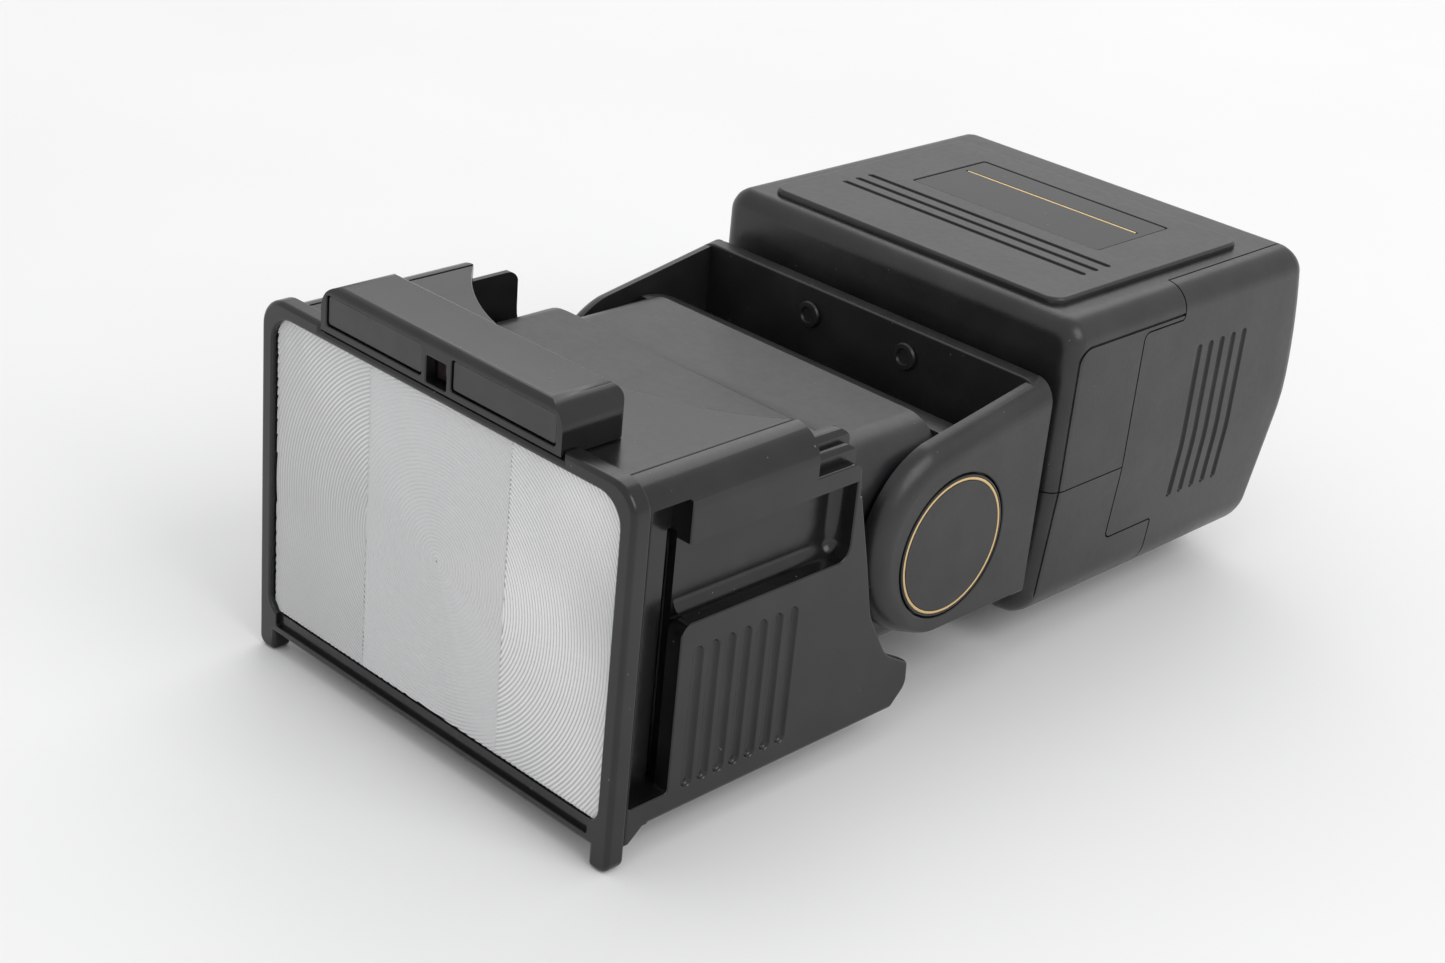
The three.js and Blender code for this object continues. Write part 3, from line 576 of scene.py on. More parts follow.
# %% Lens panels
WINDOW_HALF, WINDOW_LOW, WINDOW_HIGH = 38.9, 7.4, 58.7
PANEL_SPLIT = 16.0
LENS_FACE, LENS_BACK = 0.95, 2.2


def ringed_sheet(x0, x1, centre_x, centre_z):
    """Points and faces of the ridged face. Ring k has radius (k + 1/2) * pitch / 2, and every
    other ring lies deeper by the ridge depth, so the strip between two rings is a cone."""
    corners = np.array([[x, z] for x in (x0, x1) for z in (WINDOW_LOW, WINDOW_HIGH)])
    reach = np.linalg.norm(corners - (centre_x, centre_z), axis=1).max()
    radius = np.arange(0.5, reach / (RING_PITCH / 2) + 2)[:, None] * RING_PITCH / 2
    angle = np.linspace(0, 2 * np.pi, 360, endpoint=False)
    x = np.clip(centre_x + radius * np.cos(angle), x0, x1)
    z = np.clip(centre_z + radius * np.sin(angle), WINDOW_LOW, WINDOW_HIGH)
    tooth = np.arange(len(radius))[:, None] % 2 * RING_DEPTH
    points = np.stack([x, LENS_FACE + tooth + 0 * x, z], -1).reshape(-1, 3)
    index = np.arange(len(points)).reshape(x.shape)
    beside = np.roll(index, -1, 1)
    faces = np.stack([index[:-1], beside[:-1], beside[1:], index[1:]], -1).reshape(-1, 4)
    flat = points[:, [0, 2]][faces]
    across, along = flat[:, 2] - flat[:, 0], flat[:, 3] - flat[:, 1]
    kept = np.abs(across[:, 0] * along[:, 1] - across[:, 1] * along[:, 0]) > 2e-4
    used, faces = np.unique(faces[kept], return_inverse=True)
    return points[used], faces.reshape(-1, 4)


def lens_panel(name, x0, x1, centre_x, centre_z):
    """A closed plate: the ridged sheet in front, its flat shadow behind, and a rim between."""
    front, faces = ringed_sheet(x0, x1, centre_x, centre_z)
    back = front.copy()
    back[:, 1] = LENS_BACK
    edges = np.stack([faces, np.roll(faces, -1, 1)], -1).reshape(-1, 2)
    keys = np.sort(edges, 1) @ np.array([len(front), 1])
    values, counts = np.unique(keys, return_counts=True)
    rim = edges[np.isin(keys, values[counts == 1])]
    walls = np.column_stack([rim[:, 1], rim[:, 0], rim[:, 0] + len(front), rim[:, 1] + len(front)])
    everything = np.concatenate([faces, faces[:, ::-1] + len(front), walls])
    return new_piece(name, np.concatenate([front, back]), everything.tolist())


# %% Build the lens
MIDDLE_Z = (WINDOW_LOW + WINDOW_HIGH) / 2
# The last two numbers of each panel are the painted shade and painted highlight tones of its rings; the
# middle panel's narrow range paints a soft, even sheen.
LENS_PANELS = [
    ("left", -WINDOW_HALF, -PANEL_SPLIT, -4.0, MIDDLE_Z - 2, 0.50, 1.0),
    ("middle", -PANEL_SPLIT, PANEL_SPLIT, 0.8, MIDDLE_Z, 0.66, 0.74),
    ("right", PANEL_SPLIT, WINDOW_HALF, 4.0, MIDDLE_Z - 2, 0.50, 1.0),
]
for side, x0, x1, centre_x, centre_z, low, high in LENS_PANELS:
    acrylic = lens_material("ridged_lens_" + side, centre_x, centre_z, low, high)
    panel = lens_panel("lens_panel_" + side, x0, x1, centre_x, centre_z)
    hand_over(panel, acrylic, "clear_lens", "zoom_hood", "fresnel_lens", weighted=False)

# %% [markdown]
# ## The window frame
#
# The frame is a flat ring with two lugs that the flash stands on. Its outer rim and the lip
# of its window are rounded, and a shallow strip is sunk under the window. One outline with
# an opening cut through it gives all of that.

# %% Window frame
FRAME_DEPTH = 3.4


def window_frame():
    rim = [
        (-42, 0, 1.8), (-38, 0, 0.9), (-38, 3.5), (38, 3.5), (38, 0, 0.9), (42, 0, 1.8),
        (42, 61.5, 5), (27.3, 61.5), (27.3, 60.4), (-27.3, 60.4), (-27.3, 61.5), (-42, 61.5, 5),
    ]
    body = loft("window_frame", outline(rim), rounded_levels(0, FRAME_DEPTH, 0.85, 0.5), "y")
    hole = [(-39.2, 7.1, 3), (39.2, 7.1, 3), (39.2, 59, 4.5), (-39.2, 59, 4.5)]
    opening = loft("cutter", outline(hole), mouth_levels(2.6, 0, 0.45), "y")
    lip = [(-37.6, 8.7, 2.5), (37.6, 8.7, 2.5), (37.6, 57.4, 3.5), (-37.6, 57.4, 3.5)]
    through = loft("cutter", outline(lip), [(0, 2), (0, 5)], "y")
    strip = loft("cutter", rectangle(-37.4, 37.4, 5.0, 7.6, 0.4), mouth_levels(0.8, 0, 0.15), "y")
    return cut(body, opening, through, strip)


hand_over(window_frame(), SATIN, "satin_plastic", "zoom_hood", "front_frame")

# %% [markdown]
# ## The label housing
#
# A low box rides on top of the frame. Its top edges are well rounded and its rear corners
# sweep round, so it is an outline seen from above with a rounded top, kept inside a second
# outline seen from the front. Two shallow pockets hold blank labels, and a square hole in
# the middle shows a dark indicator.

# %% Label housing
LABEL_POCKET = (3.3, 25.7, 61.7, 66.6)  # x0, x1, z0, z1 of the right one


def label_housing():
    plan = outline([(-27, 0), (27, 0), (27, 12.1, 1.4), (-27, 12.1, 1.4)])
    body = loft("label_housing", plan, rounded_levels(60.7, 68.3, 0, 1.35, 7), "z")
    face = outline([(-27, 60), (27, 60), (27, 68.3, 4.2), (-27, 68.3, 4.2)])
    common(body, loft("keep", face, [(0, -2), (0, 14)], "y"))
    x0, x1, z0, z1 = LABEL_POCKET
    pockets = [
        loft("cutter", rectangle(a, b, z0, z1, 0.5), mouth_levels(0.9, 0, 0.2), "y")
        for a, b in ((x0, x1), (-x1, -x0))
    ]
    window = loft("cutter", rectangle(-2.3, 2.3, 61.2, 65.3, 0.3), mouth_levels(3, 0, 0.25), "y")
    return cut(body, *pockets, window)


def label_film(name, x0, x1):
    z0, z1 = LABEL_POCKET[2:]
    levels = rounded_levels(0.3, 0.85, 0.08, 0)
    return loft(name, rectangle(x0, x1, z0 + 0.3, z1 - 0.12, 0.5), levels, "y")


hand_over(label_housing(), SATIN, "satin_plastic", "zoom_hood", "scale_housing")
for side, x0, x1 in (("right", 3.55, 25.45), ("left", -25.45, -3.55)):
    film = label_film("label_film_" + side, x0, x1)
    hand_over(film, LABEL, "label", "zoom_hood", "scale_label_" + side)

# %% [markdown]
# ## The zoom hood
#
# The hood is the box that slides on the head and carries the window. Its roof is scooped out
# in a wide arc at the back. Its sides are the busiest pieces of the flash: a tall pocket
# with a thin slit, a sunk panel, seven thumb grooves, and steps at the upper rear corner.

# %% Roof and floor
HOOD_HALF, HOOD_INNER, HOOD_LOW, HOOD_TOP = 41.6, 36.2, 5.5, 60.4
ROOF_TIP, ROOF_SCOOP = 37.3, 22.0


def hood_roof():
    """The scoop is an arc through both tips and the deepest point of the rear edge."""
    half = HOOD_INNER - 0.12
    drop = ROOF_TIP - ROOF_SCOOP
    radius = (half**2 + drop**2) / (2 * drop)
    reach = np.arcsin(half / radius)
    angle = np.linspace(reach, -reach, 49)
    scoop = np.column_stack([radius * np.sin(angle), ROOF_SCOOP + radius * (1 - np.cos(angle))])
    plan = np.concatenate([[[-half, 3.6], [half, 3.6]], scoop])
    return loft("hood_roof", plan, rounded_levels(HOOD_TOP - 2, HOOD_TOP, 0.2, 0.45), "z")


def hood_floor():
    plan = rectangle(-HOOD_INNER + 0.2, HOOD_INNER - 0.2, 3.7, 40, 0.6)
    return loft("hood_floor", plan, rounded_levels(HOOD_LOW, HOOD_LOW + 1.5, 0.3, 0.3), "z")


hand_over(hood_roof(), SATIN, "satin_plastic", "zoom_hood", "hood_top")
hand_over(hood_floor(), SATIN, "satin_plastic", "zoom_hood", "hood_bottom")


# %% Sides
SIDE_FLOOR = 37.6  # x of the floor that the pocket and the sunk panel share
POCKET_FRONT, POCKET_BACK, POCKET_LOW = 4, 11.7, 9.5
SLIT_FRONT, SLIT_BACK, SLIT_TOP = 11.0, 13.1, 51
SUNK_BACK, SUNK_LOW, SUNK_HIGH, SUNK_HOLLOW = 46.5, 37, 50, 2.2
FLUTES, FLUTE_FIRST, FLUTE_PITCH, FLUTE_HALF = 7, 15.48, 3.285, 0.95
STEP_CORNER = 47.3  # y of the corner of each step
STEP_LAYERS = [(35, 38.4, 57.4), (38.3, 40, 55.5), (39.9, 43, 53)]  # x from, x to, height


def groove_levels(face, depth, lip):
    """Levels of a cutter for a round-bottomed groove in a face at x = face."""
    return [
        (0.55, face - depth), (0.25, face - depth * 0.85), (0.06, face - depth * 0.55),
        (0.0, face - depth * 0.3), (-lip * 0.4, face - depth * 0.12), (-lip, face), (-lip, face + 1),
    ]


def pocket_cutter():
    """The pocket behind the frame. Its lip is round."""
    plan = rectangle(POCKET_FRONT, POCKET_BACK, POCKET_LOW, 57, 0.6)
    return loft("cutter", plan, mouth_levels(SIDE_FLOOR, HOOD_HALF, 0.3), "x")


def corner_cutter():
    """Rounds the front upper corner of the grooved panel: what lies outside an arc of radius 2."""
    angle = np.linspace(np.pi / 2, np.pi, 9)
    arc = np.column_stack([13.7 + 2 * np.cos(angle), 35.0 + 2 * np.sin(angle)])
    points = np.concatenate([arc, [[11.0, 35.0], [11.0, 37.1], [13.7, 37.1]]])
    return loft("cutter", points[::-1], [(0, 37.7), (0, 45)], "x")


def recess_cutter():
    """The sunk panel: a crisp lip, a wide hollow where wall and floor meet, and a flat ceiling."""
    turn = np.linspace(0, np.pi / 2, 9)
    away, rise = SUNK_HOLLOW * (1 - np.sin(turn)), SUNK_HOLLOW * (1 - np.cos(turn))
    lip = mouth_levels(40.9, HOOD_HALF, 0.3)[1:]
    plan = rectangle(6, SUNK_BACK, SUNK_LOW, 62, 2.4)
    deep = loft("cutter", plan, [*zip(away, SIDE_FLOOR + rise), *lip], "x")
    return common(deep, block(35, 45, 10.6, 60, 30, SUNK_HIGH))


def step_cutters():
    """Three layers, each lower than the one inside it, and one cutter that rounds their edges."""
    cutters = []
    for x0, x1, top in STEP_LAYERS:
        above = [(ROOF_TIP, 63), (ROOF_TIP, top, 0.9), (STEP_CORNER, top, 2.4)]
        above += [(STEP_CORNER, top - 6), (60, top - 6), (60, 63)]
        cutters.append(loft("cutter", outline(above), [(0, x0), (0, x1)], "x"))
    stairs = [(35, 63), (35, 57.4), (38.4, 57.4, 1.5), (38.4, 55.5), (40, 55.5, 1.4), (40, 53)]
    stairs += [(HOOD_HALF, 53, 0.3), (HOOD_HALF, 50), (43, 50), (43, 63)]
    cutters.append(loft("cutter", outline(stairs), [(0, ROOF_TIP), (0, 60)], "y"))
    return cutters


def hood_side():
    inner, outer = HOOD_INNER, HOOD_HALF
    low, high = HOOD_LOW, HOOD_TOP
    section = outline([(inner, low), (outer, low, 0.9), (outer, high, 5.3), (inner, high)])
    body = loft("hood_side_right_shell", section, [(0, 3.6), (0, 66)], "y")
    silhouette = outline(
        [
            (3.6, 3.4), (4.6, 3.4), (7.2, 5.5), (61.2, 5.5, 1.5), (64.8, 9, 3), (64.4, 13.2, 1.2),
            (58.6, 16.4, 7), (53.6, 25, 9), (51.2, 35, 12), (47.3, 49.6, 10), (47.1, 61, 1), (3.6, 61),
        ]
    )
    lug_side = loft("lug", rectangle(inner, outer, 3.4, 8), [(0, 3.6), (0, 8)], "y")
    join(body, lug_side)
    common(body, loft("keep", silhouette, rounded_levels(35, HOOD_HALF, 0, 0.45), "x"))
    cutters = [
        block(35, 40.1, 48.4, 70, 0, 70),
        pocket_cutter(),
        block(SIDE_FLOOR, 38.8, POCKET_FRONT, 13.5, POCKET_LOW, SLIT_TOP),
        block(35, 38, SLIT_FRONT, SLIT_BACK, POCKET_LOW, SLIT_TOP),
        recess_cutter(),
        corner_cutter(),
        *step_cutters(),
    ]
    for k in range(FLUTES):
        middle = FLUTE_FIRST + FLUTE_PITCH * k
        groove = rectangle(middle - FLUTE_HALF, middle + FLUTE_HALF, 9.2, 32.5, 0.93)
        cutters.append(loft("cutter", groove, groove_levels(HOOD_HALF, 0.65, 0.2), "x"))
    return cut(body, *cutters)


right_side = hood_side()
left_side = twin(right_side, "hood_side_left_shell", flip=True)
hand_over(right_side, SATIN, "satin_plastic", "zoom_hood", "hood_side_right")
hand_over(left_side, SATIN, "satin_plastic", "zoom_hood", "hood_side_left")

# %% [markdown]
# ## The head
#
# Inside the hood sits the lamp head: a box that steps down to a shallower neck. Its section
# is a rounded rectangle all along, so it is a stack of sections whose height changes with
# y. It is hollow and split into two shells on a flat seam, with a half drum behind.

# %% Head shells
PIVOT_Y, PIVOT_Z = 74.2, 30.1
HEAD_SEAM = 30.15
BEARING = 5.4


def pin_hole(radius, start, end):
    """A cutter for a hole round the tilting axis."""
    return turned("cutter", [(radius, start), (radius, end)], "x", PIVOT_Y, PIVOT_Z, 48)


def section_ring(y, half, low, high, r_low, r_high):
    """One rounded rectangle across the head or body; equal corner counts keep rings alike."""
    flat = outline([(-half, low, r_low), (half, low, r_low), (half, high, r_high), (-half, high, r_high)])
    return np.column_stack([flat[:, 0], np.full(len(flat), y), flat[:, 1]])


def head_form(name, wall=0.0, start=14.5, end=74.0):
    """(y, low, high) along the head: front box, bevelled step, neck; drawn in by the wall."""
    along = [
        (start, 7.8, 52.2), (start + 0.4, 7.4, 52.6), (45.5, 7.4, 52.6), (50.0, 9.5, 52.6),
        (50.8, 9.9, 52.2), (54.0, 11.4, 49.8), (55.0, 11.9, 49.4), (57.5, 13, 49.4), (end, 13, 49.4),
    ]
    rings = []
    for y, low, high in along:
        half = 35 - wall - (0.4 if y == start else 0)
        rings.append(section_ring(y, half, low + wall, high - wall, 3 - wall / 2, 7.5 - wall))
    return stack(name, rings)


def head_shells():
    whole = head_form("head_shell_top")
    hollow = head_form("cutter", 2.0, 15.6, 76.0)
    mouth = loft("cutter", rectangle(-32.5, 32.5, 10, 49.5, 2), [(0, 12), (0, 18)], "y")
    cut(whole, hollow, mouth, pin_hole(BEARING, -50, 50))
    lower = twin(whole, "head_shell_bottom")
    cut(whole, block(-50, 50, 0, 90, 0, HEAD_SEAM))
    cut(lower, block(-50, 50, 0, 90, HEAD_SEAM - 0.2, 70))
    return whole, lower


def head_drum():
    rim = [(17.6 - d, 34.8 - h) for d, h in rounded_levels(0, 1, 1.0, 0)]
    profile = [(r, -x) for r, x in rim] + [(r, x) for r, x in rim[::-1]]
    drum = turned("head_drum_shell", profile, "x", PIVOT_Y, PIVOT_Z, 120)
    return cut(drum, pin_hole(BEARING, -50, 50), block(-50, 50, 40, 74.15, 0, 70))


top_shell, bottom_shell = head_shells()
hand_over(top_shell, FINE_GRAIN, "fine_grained_plastic", "head", "head_top_shell")
hand_over(bottom_shell, FINE_GRAIN, "fine_grained_plastic", "head", "head_bottom_shell")
hand_over(head_drum(), FINE_GRAIN, "fine_grained_plastic", "head", "head_drum")

# %% [markdown]
# ## The yoke
#
# The yoke is a wall with two arms that hold the head by its sides. An arm is a plate whose
# front end is part of a circle; its outer edge rolls over in a quarter ellipse, wide round
# the front and along the crest, and almost nothing along the straight bottom. That is the
# weight given to each point of the outline.

# %% Yoke
ARM_INNER, ARM_FACE = 36.0, 39.7
ARM_ROLL, ARM_THICK = 4.2, 3.5
YOKE_LOW, YOKE_HIGH, WALL_FRONT, WALL_BACK = 15.0, 53.2, 92.7, 95.9
PIN_RADIUS = 5.3
AXLE_Z, AXLE_RADIUS = 34.1, 5.3
PEG_X, PEG_Z = 11, 48.2


def axle_hole(start, end):
    """A cutter for a hole round the swivelling axis."""
    return turned("cutter", [(AXLE_RADIUS, start), (AXLE_RADIUS, end)], "y", 0, AXLE_Z)


def arm():
    """Outline: bottom line, circle of radius 17 from its lowest point, crest line."""
    angle = np.radians(np.arange(-90, -258, -4.0))
    front = np.column_stack([72.3 + 17 * np.cos(angle), 32 + 17 * np.sin(angle)])
    slope = (YOKE_HIGH - front[-1, 1]) / (WALL_BACK - front[-1, 0])
    far = 106.0
    tail = [[far, front[-1, 1] + slope * (far - front[-1, 0])], [far, YOKE_LOW]]
    points = np.concatenate([front, tail])[::-1]
    roll = np.clip((-np.degrees(angle) - 90) / 50, 0, 1)
    weight = np.concatenate([0.12 + 0.88 * roll * roll * (3 - 2 * roll), [1, 0.12]])[::-1]
    turn = np.linspace(0, np.pi / 2, 9)
    rolled = list(zip(ARM_ROLL * (1 - np.cos(turn)), ARM_FACE - ARM_THICK * (1 - np.sin(turn))))
    plate = loft("arm", points, [(0, ARM_INNER), *rolled], "x", weight)
    return common(plate, block(ARM_INNER - 1, 41, 50, WALL_BACK - 0.3, YOKE_LOW - 1, YOKE_HIGH))


def yoke():
    half, low, high = ARM_FACE, YOKE_LOW, YOKE_HIGH
    corners = [(-half, low, 0.6), (half, low, 0.6), (half, high, 4.7), (-half, high, 4.7)]
    wall = loft("yoke_shell", outline(corners), rounded_levels(WALL_FRONT, WALL_BACK, 0.3, 0.5), "y")
    right = arm()
    left = twin(right, "arm", flip=True)
    join(wall, right, left)
    holes = [axle_hole(80, 100)]
    for side in (1, -1):
        bed = [(12.5, 38.3), (12.5, 39.45), (12.57, 39.6), (12.75, 39.7), (12.75, 41)]
        holes.append(turned("cutter", [(r, side * x) for r, x in bed], "x", PIVOT_Y, PIVOT_Z, 128))
        holes.append(pin_hole(PIN_RADIUS, side * 30, side * 42))
        peg = [(1.9, 100), (1.9, WALL_FRONT + 0.2), (2.1, WALL_FRONT), (2.1, 80)]
        holes.append(turned("cutter", peg, "y", side * PEG_X, PEG_Z, 48))
    return cut(wall, *holes)


hand_over(yoke(), FINE_GRAIN, "fine_grained_plastic", "yoke", "yoke_bracket", sharp=28)


# %% Cover discs, gold rings and pegs
def disc_profile(side):
    """A flush disc with a soft rim and a shallow round-bottomed channel for the gold ring."""
    face = 39.75
    rim = [(12.2, face - 1), (12.2, face - 0.3), (12.12, face - 0.1), (11.95, face)]
    channel = [(11.8, face), (11.77, face - 0.25), (11.22, face - 0.25), (11.18, face)]
    profile = [*rim, *channel, (3, face + 0.02), (0.4, face + 0.02)]
    return [(r, side * x) for r, x in profile]


def ring_profile(side):
    """The gold inlay: a flat ring whose outer face is gently crowned."""
    turn = np.linspace(0, np.pi, 7)
    crown = [(11.5 + 0.25 * np.cos(t), 39.64 + 0.12 * np.sin(t)) for t in turn]
    return [(r, side * x) for r, x in [(11.75, 39.52), *crown, (11.25, 39.52)]]


for side, way in (("right", 1), ("left", -1)):
    disc = turned("disc_" + side, disc_profile(way), "x", PIVOT_Y, PIVOT_Z, 128)
    hand_over(disc, FINE_GRAIN, "satin_plastic", "yoke", "cover_disc_" + side)
    ring = hoop("gold_ring_" + side, ring_profile(way), "x", PIVOT_Y, PIVOT_Z)
    hand_over(ring, GOLD, "gold_trim", "yoke", "ring_inlay_" + side)
    head_of_peg = [(1.55, WALL_BACK), (1.55, WALL_FRONT), (2.3, WALL_FRONT - 0.1)]
    head_of_peg += [(2.4, WALL_FRONT - 0.5), (2.2, WALL_FRONT - 0.85), (1.5, WALL_FRONT - 0.9)]
    head_of_peg += [(1.3, WALL_FRONT - 0.5), (0.3, WALL_FRONT - 0.45)]
    peg = turned("peg_" + side, head_of_peg, "y", way * PEG_X, PEG_Z, 48)
    hand_over(peg, FINE_GRAIN, "fine_grained_plastic", "yoke", "yoke_screw_" + side)

# %% [markdown]
# ## The body
#
# The body is a rounded box. Its rear end is crowned: it bulges to the rear at mid height, and
# the lower half of every side leans inwards, as a shell that has to leave its mould does.
# The box is made straight, with many points, and then bent by a formula. Both shells, the
# battery door and the hollow inside come from that one form.

# %% Body form
BODY_FRONT, BODY_BACK, BODY_SEAM = 99.2, 171.6, 31.7
BODY_HALF, BODY_LOW, BODY_HIGH, BODY_MIDDLE = 39.8, 6.2, 62, 35.0
LEAN = 0.075  # how far each mm below the seam draws the sides in


def even(points, step):
    """Adds points along the long edges of a closed outline, about one step apart."""
    ahead = np.roll(points, -1, 0) - points
    counts = np.maximum(1, np.ceil(np.linalg.norm(ahead, axis=1) / step)).astype(int)
    edge = np.repeat(np.arange(len(points)), counts)
    part = (np.arange(len(edge)) - np.repeat(np.cumsum(counts) - counts, counts)) / counts[edge]
    return points[edge] + ahead[edge] * part[:, None]


def bend(piece):
    """Moves a piece's points. Rear: y falls by a crown that grows away from z = 36, faded in
    behind y = 157. Sides: x shrinks evenly below the seam."""
    mesh = piece.data
    places = np.zeros(len(mesh.vertices) * 3)
    mesh.vertices.foreach_get("co", places)
    x, y, z = (places.reshape(-1, 3).T - np.array([[0], [FRONT], [0]])) / MM
    fade = np.clip((y - 157) / 14, 0, 1)
    fade = fade * fade * (3 - 2 * fade)
    crown = np.where(z > 36, 0.0060 * (z - 36) ** 2, 0.2 * (np.sqrt((36 - z) ** 2 + 9) - 3))
    lean = 1 - LEAN * np.maximum(BODY_SEAM - z, 0) / BODY_HALF
    bent = np.column_stack([x * lean, y - crown * fade, z]) * MM + (0, FRONT, 0)
    mesh.vertices.foreach_set("co", bent.ravel())
    return piece


def body_form(name, wall=0.0):
    """Section 79.6 x 55.8 along y, with rounded ends whose caps have rings, so they can bend."""
    half, low, high = BODY_HALF - wall, BODY_LOW + wall, BODY_HIGH - wall
    corners = [(-half, low, 6.4), (half, low, 6.4), (half, high, 4.6), (-half, high, 4.6)]
    section = even(outline(corners), 3.0)
    levels = rounded_levels(BODY_FRONT + wall, BODY_BACK - wall, 3.4, 4.4, 6)
    levels = levels[:6] + [(0, y) for y in np.arange(110, 166, 4.0)] + levels[6:]
    rings = [np.insert(inset(section, distance), 1, y, axis=1) for distance, y in levels]
    shrunk = np.array([0.85, 0.68, 0.5, 0.3, 0.1])
    for far, order in ((rings[0], shrunk[::-1]), (rings[-1], shrunk)):
        flat = far * (0, 1, 0) + (0, 0, BODY_MIDDLE)
        caps = [flat + (far - flat) * size for size in order]
        rings = [*caps, *rings] if far is rings[0] else [*rings, *caps]
    return stack(name, rings)


# %% Covers
PANEL_TOP = 63.2
PANEL_GROOVES, GROOVE_FIRST, GROOVE_PITCH, GROOVE_HALF = 3, 117, 3.46, 0.55
DOOR_OUTLINE = [
    (119.3, 17.7, 1.2), (119.3, 56.2, 1.2), (130.6, 56.2, 0.8), (130.6, 70),
    (190, 70), (190, -5), (132.8, -5), (132.8, 17.7, 0.8),
]


def groove_cutter(x0, x1, y0, y1, top, depth):
    """A groove along x with round ends, a round bottom and a softened lip."""
    levels = [(0.3, top - depth), (0.1, top - 0.8 * depth), (0, top - 0.5 * depth)]
    levels += [(0, top - 0.15), (-0.12, top), (-0.12, top + 2)]
    return loft("cutter", rectangle(x0, x1, y0, y1, (y1 - y0) / 2 - 0.01), levels, "z")


def trim_line():
    """The fine line scored round each side: an L between two nested outlines."""
    outer = outline([(101.25, -5), (101.25, 57.6, 3), (185, 57.6), (185, -5)])
    inner = outline([(101.75, -5), (101.75, 57.1, 2.6), (185, 57.1), (185, -5)])
    ring = loft("cutter", outer, [(0, 39.45), (0, 45)], "x")
    return cut(ring, loft("cutter", inner, [(0, 39), (0, 46)], "x"))


def body_covers():
    whole = body_form("rear_cover_shell")
    panel = loft("panel", rectangle(-32.4, 32.4, 103, 156.5, 3), rounded_levels(58, PANEL_TOP, 0, 0.6), "z")
    join(whole, panel)
    cutters = [body_form("cutter", 2.2)]
    bed = rectangle(-21.2, 21.2, 128.8, 149.8, 0.5)
    cutters.append(loft("cutter", bed, mouth_levels(PANEL_TOP - 0.9, PANEL_TOP, 0.2), "z"))
    for k in range(PANEL_GROOVES):
        y = GROOVE_FIRST + GROOVE_PITCH * k
        cutters.append(groove_cutter(-27.4, 27.4, y - GROOVE_HALF, y + GROOVE_HALF, PANEL_TOP, 0.6))
    cutters.append(axle_hole(90, 110))
    foot_hole = [(3.4, 160), (3.4, 168), (3.6, 171.6), (4, 172)]
    cutters.append(turned("cutter", foot_hole, "y", 0, AXLE_Z, 48))
    line = trim_line()
    cutters += [line, twin(line, "cutter", flip=True)]
    control = rectangle(128.7, 164.3, 16.7, 53.3, 1)
    cutters.append(loft("cutter", control, [(0, -36.8), (0, -45)], "x"))
    opening = loft("cutter", outline(DOOR_OUTLINE), [(-0.3, 35.1), (-0.3, 60)], "x")
    cutters.append(cut(opening, block(0, 37.1, 100, 190, 0, 58.9)))
    cell_room = block(20, 60, 125.5, 164, 21, 53)
    sensor = rectangle(-24.8, 24.8, 136.7, 168.3, 2)
    cutters += [cell_room, loft("cutter", sensor, [(0, -1), (0, 7.2)], "z")]
    cut(whole, *cutters)
    lower = twin(whole, "front_cover_shell")
    cut(whole, block(-60, 60, 80, 200, -5, BODY_SEAM + 0.12))
    cut(lower, block(-60, 60, 80, 200, BODY_SEAM - 0.12, 80))
    return bend(whole), bend(lower)


upper_cover, lower_cover = body_covers()
hand_over(upper_cover, FINE_GRAIN, "fine_grained_plastic", "body", "rear_cover")
hand_over(lower_cover, FINE_GRAIN, "fine_grained_plastic", "body", "front_cover")

# %% [markdown]
# ## The battery door
#
# The door is the same body form again, kept only inside the opening's outline and emptied
# from within, so its outside continues the covers without a step. Five finger grooves are
# cut before the bend, which is why they lean together with the lower half of the side.


# %% Battery door
DOOR_GROOVES, DOOR_FIRST, DOOR_PITCH, DOOR_HALF = 5, 136.9, 3.42, 0.62


def battery_door():
    door = body_form("battery_door_shell")
    keep = loft("keep", outline(DOOR_OUTLINE), [(0, 35.4), (0, 60)], "x")
    common(door, keep)
    cutters = [block(-60, 37.4, 100, 190, -5, 59.2)]
    for k in range(DOOR_GROOVES):
        middle = DOOR_FIRST + DOOR_PITCH * k
        groove = even(rectangle(middle - DOOR_HALF, middle + DOOR_HALF, 20.8, 50.2, 0.6), 2.5)
        levels = groove_levels(BODY_HALF, 0.75, 0.15)
        cutters.append(loft("cutter", groove, levels, "x"))
    return bend(cut(door, *cutters))


hand_over(battery_door(), FINE_GRAIN, "fine_grained_plastic", "battery_door", "battery_door")


# %% Nameplate and its rule
def nameplate_blank():
    plate = rectangle(-21, 21, 129, 149.6, 0.5)
    body = loft("nameplate_blank", plate, rounded_levels(PANEL_TOP - 0.7, PANEL_TOP - 0.12, 0, 0.15), "z")
    return cut(body, block(-19.6, 19.6, 142.2, 143.0, PANEL_TOP - 0.4, 70))


hand_over(nameplate_blank(), GLOSS, "gloss_plastic", "body", "nameplate")
rule_outline = rectangle(-19.3, 19.3, 142.38, 142.82, 0.15)
rule_levels = rounded_levels(PANEL_TOP - 0.36, PANEL_TOP - 0.1, 0, 0.08)
rule = loft("gold_rule", rule_outline, rule_levels, "z")
hand_over(rule, GOLD, "gold_trim", "body", "nameplate_rule")

# %% [markdown]
# ## Small parts
#
# The remaining parts already have the right shape in the frame, but their edges are razor
# sharp and their faces are loose triangles. Each one that shows is copied, its doubles are
# merged, its flat triangles are dissolved back into whole faces, and a Bevel modifier rounds
# the edges. A rounded edge catches a thin highlight, as every moulded edge does.


